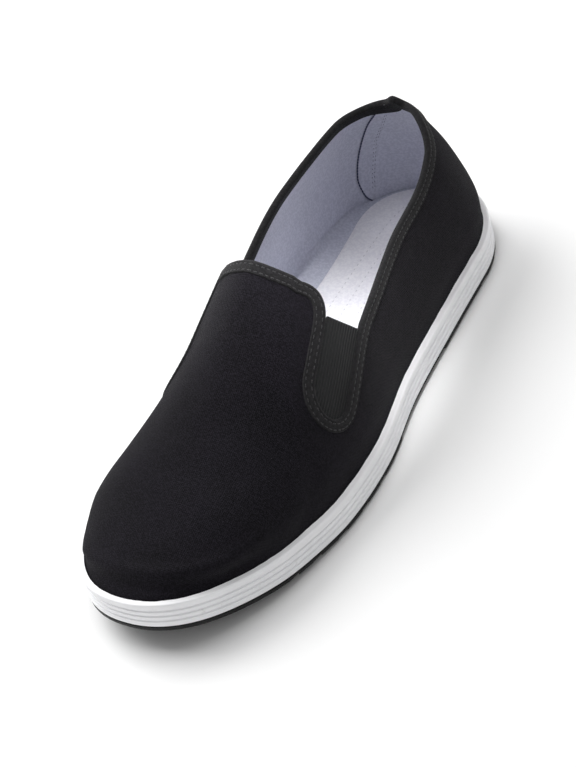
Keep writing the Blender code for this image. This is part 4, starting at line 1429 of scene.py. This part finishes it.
def tape_section():
    """Depth into the cloth and height over it, round the folded tape."""
    near, far = GAP * 0.4, GAP + BINDING_THICKNESS
    bend = (far + WALL + far) / 2
    outer = []
    for depth in np.linspace(BINDING_WIDTH, TAPE_FOLD, 12):
        rows = sum(math.exp(-(((depth - row) / STITCH_HOLLOW) ** 2)) for row in STITCH_ROWS)
        edge = math.sqrt(max(0.0, 1 - (1 - min(1.0, (BINDING_WIDTH - depth) / TAPE_ROUNDING)) ** 2))
        outer.append((depth, near + (far - near) * edge * (1 - 0.25 * rows)))
    fold = []
    for t in np.linspace(0, math.pi, 9)[1:-1]:
        fold.append((TAPE_FOLD - (far + TAPE_FOLD) * math.sin(t), -WALL / 2 + bend * math.cos(t)))
    inner = [(depth, -WALL - far) for depth in (TAPE_FOLD, BINDING_WIDTH * 0.5, BINDING_WIDTH * 0.92)]
    back = [(BINDING_WIDTH, -WALL - near), (-near, -WALL - near), (-near, near)]
    return outer + fold + inner + back


def tape_depths(depth, height):
    """The depth of one row of the tape all the way round. Inside, it is deeper under the heel's peak."""
    if height > -WALL or depth < BINDING_WIDTH * 0.4:
        return np.full((len(opening), 1), depth)
    from_peak = np.linalg.norm(opening - opening[np.argmax(opening[:, 1])], axis=1)
    near = np.clip(1 - from_peak / HEEL_PEAK_WIDTH, 0, 1)
    return (depth + PEAK_LINING * near * near * (3 - 2 * near))[:, None]


inward = edge_inward(last, opening)
rings = [last.at(opening + inward * tape_depths(depth, height), height) for depth, height in tape_section()]
tape_faces = bands(len(rings), len(opening), closed=True)
tape_uv = swept_uv(rings[0], len(rings), 0.0007)
tape = mesh_piece("folded_tape", np.concatenate(rings), tape_faces, TAPE, uv=tape_uv, sharp=60)
stands_for(tape, "collar_binding", "collar_binding")

# %% [markdown]
# ## Stitches on the tape
# Two rows of black stitches hold the tape. They are laid in the pattern at even distances along the
# edge, lifted onto the tape, and sunk a little into it.

# %% Tape stitches
# Each kind of stitch has its pitch, length and width
TAPE_STITCH = (0.0025, 0.0018, 0.00050)
EDGE_STITCH = (0.0013, 0.0023, 0.0009)
PATCH_STITCH = (0.0024, 0.0011, 0.0003)
SEAM_STITCH = (0.0026, 0.0019, 0.00036)


def spaced(path, pitch, closed=False):
    """Places along a path at an even pitch, with the direction at each."""
    if closed:
        path = np.concatenate([path, path[:1]])
    gone = path_lengths(path)
    count = max(2, round(gone[-1] / pitch))
    at = (np.arange(count) + 0.5) * gone[-1] / count
    points = np.stack([np.interp(at, gone, path[:, k]) for k in range(path.shape[1])], axis=1)
    ahead = np.stack([np.interp(at + 1e-4, gone, path[:, k]) for k in range(path.shape[1])], axis=1)
    return points, (ahead - points) / 1e-4


def stitch_row(name, flat_path, height, surface, pitch, length, width, closed=False):
    """Stitches along a path of the pattern, at a height over the form."""
    dense, _ = spaced(flat_path, 0.0006, closed)
    raised, _ = spaced(last.at(dense, height), pitch, closed=False)
    share = np.linspace(0, 1, len(dense))
    wanted = np.linspace(0, 1, len(raised))
    flat = np.stack([np.interp(wanted, share, dense[:, k]) for k in range(2)], axis=1)
    places = last.at(flat, height)
    along = last.at(flat + np.gradient(flat, axis=0) * 0.05, height) - places
    _, _, normal = last.frame(flat)
    along /= np.linalg.norm(along, axis=1, keepdims=True)
    return repeat_on(name, places, along, normal, surface, length, width, width * 0.8)


tape_face = GAP + BINDING_THICKNESS * 0.8
for number, depth in enumerate(STITCH_ROWS):
    line = opening + inward * depth
    row = stitch_row(f"tape_stitches_{number}", line, tape_face, BLACK_THREAD, *TAPE_STITCH, closed=True)
    stands_for(row, "collar_binding")

# %% [markdown]
# ## Heel patch
# A second layer of lining strengthens the inside of the heel. It is cut like a shield: narrow under
# the tape, widest above the footbed and drawn in again at the floor. Navy thread sews its edge, and
# two rows of fine stitches run down just inside each side edge. The table gives its half outline.

# %% Heel patch
PATCH_THICKNESS = 0.0005
PATCH_ROWS = (
    (0.0, 26, 0.30), (0.10, 34, 0.38), (0.25, 47, 0.465), (0.42, 58, 0.60), (0.58, 65, 0.74),
    (0.70, 67, 0.845), (0.82, 63.5, 0.940), (0.92, 55, 0.985), (1.0, 43, 0.990),
)
PATCH_TOP_TURN, PATCH_TOP_SHARE = PATCH_ROWS[0][1:]
PATCH_LOW_TURN, PATCH_LOW_SHARE = PATCH_ROWS[-1][1:]
PATCH_STEP, STITCHES_IN = 0.0018, (0.0, 2.2)
STITCH_PLACES, STITCH_TURNS = (0, 0.4, 0.8, 1.0), (25, 44, 52, 56)
heel_rib = float(last.feather_pattern(np.array([0.0]))[2][0])


def around_heel(turn, share):
    """Pattern points at a turn from the heel's middle in degrees and a share of the heel's rib."""
    turn, radius = np.radians(turn), np.asarray(share) * heel_rib
    return np.column_stack([radius * np.sin(turn), last.back + radius * np.cos(turn)])


fine = np.linspace(0, 1, 40)
half_edge = around_heel(smooth_table(PATCH_ROWS, 1, fine), smooth_table(PATCH_ROWS, 2, fine))
low_turn = np.linspace(PATCH_LOW_TURN, -PATCH_LOW_TURN, 26)[1:-1]
floor_edge = around_heel(low_turn, np.full(len(low_turn), PATCH_LOW_SHARE))
other_edge = (half_edge * (-1, 1))[::-1]
peak = opening[np.argsort(np.hypot(opening[:, 0], opening[:, 1] - opening[:, 1].max()))[0]]
top_turn = np.linspace(-PATCH_TOP_TURN, PATCH_TOP_TURN, 20)[1:-1]
under_tape = (peak[1] - last.back + BINDING_WIDTH * 0.7) / heel_rib
top_share = np.interp(np.abs(top_turn), (0, PATCH_TOP_TURN), (under_tape, PATCH_TOP_SHARE))
top_edge = around_heel(top_turn, top_share)
patch_path = np.concatenate([half_edge, floor_edge, other_edge, top_edge])
patch_path = patch_path[~inside(patch_path, opening)]
fill = lattice(patch_path.min(axis=0), patch_path.max(axis=0), PATCH_STEP)
fill = fill[inside(fill, patch_path) & ~inside(fill, opening) & (distance_to(fill, patch_path) > PATCH_STEP / 2)]
patch_points, patch_faces = triangulate((patch_path,), fill, lambda c: inside(c, patch_path))
patch_face = -WALL - PATCH_THICKNESS
patch_heights = (-WALL - CLOTH_GAP, patch_face)
heel_patch = sheet("heel_patch", patch_points, patch_faces, (patch_path,), patch_heights, LINING)
stands_for(heel_patch, "upper")
for name, edge in (("lateral", half_edge[3:]), ("medial", other_edge[:-3])):
    row = stitch_row("patch_edge_" + name, edge, patch_face, NAVY_THREAD, *EDGE_STITCH)
    stands_for(row, "upper")
for side, name in ((LATERAL, "lateral"), (MEDIAL, "medial")):
    for number, turned_in in enumerate(STITCHES_IN):
        turns = side * (np.interp(fine, STITCH_PLACES, STITCH_TURNS) - turned_in)
        down = around_heel(turns, np.linspace(0.42, 0.90, 40))
        row = stitch_row(f"patch_{name}_{number}", down, patch_face, NAVY_THREAD, *PATCH_STITCH)
        stands_for(row, "upper")

# %% [markdown]
# ## Footbed
# A white woven sock with a rounded edge covers the deck, and five faint rows of stitches quilt it
# lengthwise.

# %% Footbed
# The edge's rings, each with its inset and its share of the footbed's thickness
BED_EDGE = ((0.0, 0.0), (0.0, 0.7), (0.0004, 0.93), (0.0012, 1.0), (0.004, 1.0))
BED_STEP = 0.003
QUILT_SHARES, QUILT_PITCH, QUILT_STITCH = (-0.46, -0.23, 0.0, 0.23, 0.46), 0.0030, (0.0014, 0.0005, 0.0003)

bed_inset = LIP_WIDTH + GAP + WALL + 2 * GAP
bed_bottom = deck_height() + GAP
bed_top = bed_bottom + INSOLE_THICKNESS
bed_angles = fine_angles(300)
rings = [
    ring(bed_angles, bed_inset + inset, bed_bottom + INSOLE_THICKNESS * share) for inset, share in BED_EDGE
]
bed = np.concatenate(rings)
count = len(bed_angles)
edge_loop = rings[-1][:, :2]
fill = lattice(edge_loop.min(axis=0), edge_loop.max(axis=0), BED_STEP)
fill = fill[inside(fill, edge_loop) & (distance_to(fill, edge_loop) > BED_STEP / 2)]
top_points, top_faces = triangulate((edge_loop,), fill, lambda c: inside(c, edge_loop))
top = np.column_stack([top_points, bed_top + lift(top_points[:, 1])])
first = (len(rings) - 1) * count
faces = bands(len(rings), count) + ladder(0, count)
faces += [tuple(np.array(f) + first) for f in top_faces]
all_points = np.concatenate([bed[:first], top])
footbed = mesh_piece("footbed", all_points, faces, FOOTBED, uv=all_points[:, :2])
stands_for(footbed, "insole", "insole")

quilt = []
for share in QUILT_SHARES:
    y = np.arange(y_of(0.90), y_of(0.03), QUILT_PITCH)
    low, high = outline_half_width(y)
    x = (low + high) / 2 + share * ((high - low) / 2 - bed_inset - 0.004)
    quilt.append(np.column_stack([x, y, bed_top + lift(y)]))
row = repeat_on("footbed_stitches", np.concatenate(quilt), AHEAD, UPWARD, WHITE_THREAD, *QUILT_STITCH)
stands_for(row, "insole")

# %% [markdown]
# ## Cove of the lining
# The lining doesn't meet the footbed in a corner. It leaves the wall along the wall's own slope, bends
# inwards and meets the footbed at a slant. It is widest at the waist and nearly nothing at the heel,
# so the white of the footbed shows as a narrower strip. A closed strip of cloth makes this.

# %% Lining cove
COVE_WIDTH, COVE_HEIGHT, COVE_THICKNESS, COVE_TURN = 0.0110, 0.0100, 0.0004, 0.62
COVE_STANDOFF = 0.0002
COVE_ROWS = (
    (0.0, 0.08), (0.05, 0.20), (0.12, 0.55), (0.22, 0.85), (0.36, 0.90), (0.50, 0.75), (0.70, 0.5),
    (0.90, 0.35), (1.0, 0.35),
)
cove_angles = fine_angles(240)
start, ray, length = last.feather_pattern(cove_angles)
plan_edge = inset_outline(cove_angles, 0.0)
inwards = (inset_outline(cove_angles, 0.001) - plan_edge) / 0.001
size = smooth_table(COVE_ROWS, 1, along_of(plan_edge[:, 1]))
width = COVE_WIDTH * size
wall_pattern = start + ray * (length - COVE_HEIGHT * np.clip(size, 0.25, 1))[:, None]
floor_plan = plan_edge + inwards * (bed_inset + width)[:, None]


def on_bed(plan, rise):
    return np.column_stack([plan, bed_top + rise + lift(plan[:, 1])])


def cove_rings(depth, steps):
    """Rings from the wall to the footbed, sunk by depth into both. They leave the wall along it."""
    high = last.at(wall_pattern, -WALL - COVE_STANDOFF + depth)
    low = on_bed(floor_plan, COVE_STANDOFF - depth)
    down = high - last.at(wall_pattern - ray * 0.001, -WALL - COVE_STANDOFF + depth)
    fall = (low[:, 2:] - high[:, 2:]) / down[:, 2:]
    turn = high + down * fall * COVE_TURN
    return [high * (1 - s) ** 2 + turn * 2 * s * (1 - s) + low * s * s for s in steps]


steps = np.linspace(0, 1, 12)
rings = cove_rings(0.0, steps) + cove_rings(COVE_THICKNESS, steps[::-3])
cove_faces = bands(len(rings), len(cove_angles), closed=True)
cove_uv = swept_uv(rings[6], len(rings), 0.0013)
cove = mesh_piece("lining_cove", np.concatenate(rings), cove_faces, LINING, uv=cove_uv, sharp=60)
stands_for(cove, "upper")

# %% [markdown]
# ## Back seam
# The two halves of the upper meet in a seam down the back of the heel, which shows as a narrow
# felled strip with a row of stitches on each side.

# %% Back seam
SEAM_HALF_WIDTH, SEAM_THICKNESS, SEAM_STITCH_OFFSET = 0.0032, 0.0004, 0.0022
seam_low = (heel_rib - 0.0095) / heel_rib
seam_high = (peak[1] - last.back + BINDING_WIDTH + 0.0004) / heel_rib
count = 40
down = np.linspace(seam_high, seam_low, count) * heel_rib
strip = []
for across, height in ((-1, -0.0001), (-0.85, 0.8), (0.85, 0.8), (1, -0.0001)):
    line = np.column_stack([np.full(count, across * SEAM_HALF_WIDTH), last.back + down])
    strip.append(last.at(line, height * SEAM_THICKNESS if height > 0 else height))
seam_points = np.concatenate(strip)
seam_faces = [
    (r * count + k, r * count + k + 1, (r + 1) % 4 * count + k + 1, (r + 1) % 4 * count + k)
    for r in range(4)
    for k in range(count - 1)
]
seam_faces += [(0, count, 2 * count, 3 * count), (count - 1, 4 * count - 1, 3 * count - 1, 2 * count - 1)]
seam_uv = np.concatenate([np.column_stack([np.full(count, r * 0.0021), down]) for r in range(4)])
back_seam = mesh_piece("back_seam", seam_points, seam_faces, COTTON, uv=seam_uv, sharp=50)
stands_for(back_seam, "upper")
for number, across in enumerate((-SEAM_STITCH_OFFSET, SEAM_STITCH_OFFSET)):
    line = np.column_stack([np.full(count, across), last.back + down])
    row = stitch_row(f"seam_stitches_{number}", line, SEAM_THICKNESS * 0.9, BLACK_THREAD, *SEAM_STITCH)
    stands_for(row, "upper")
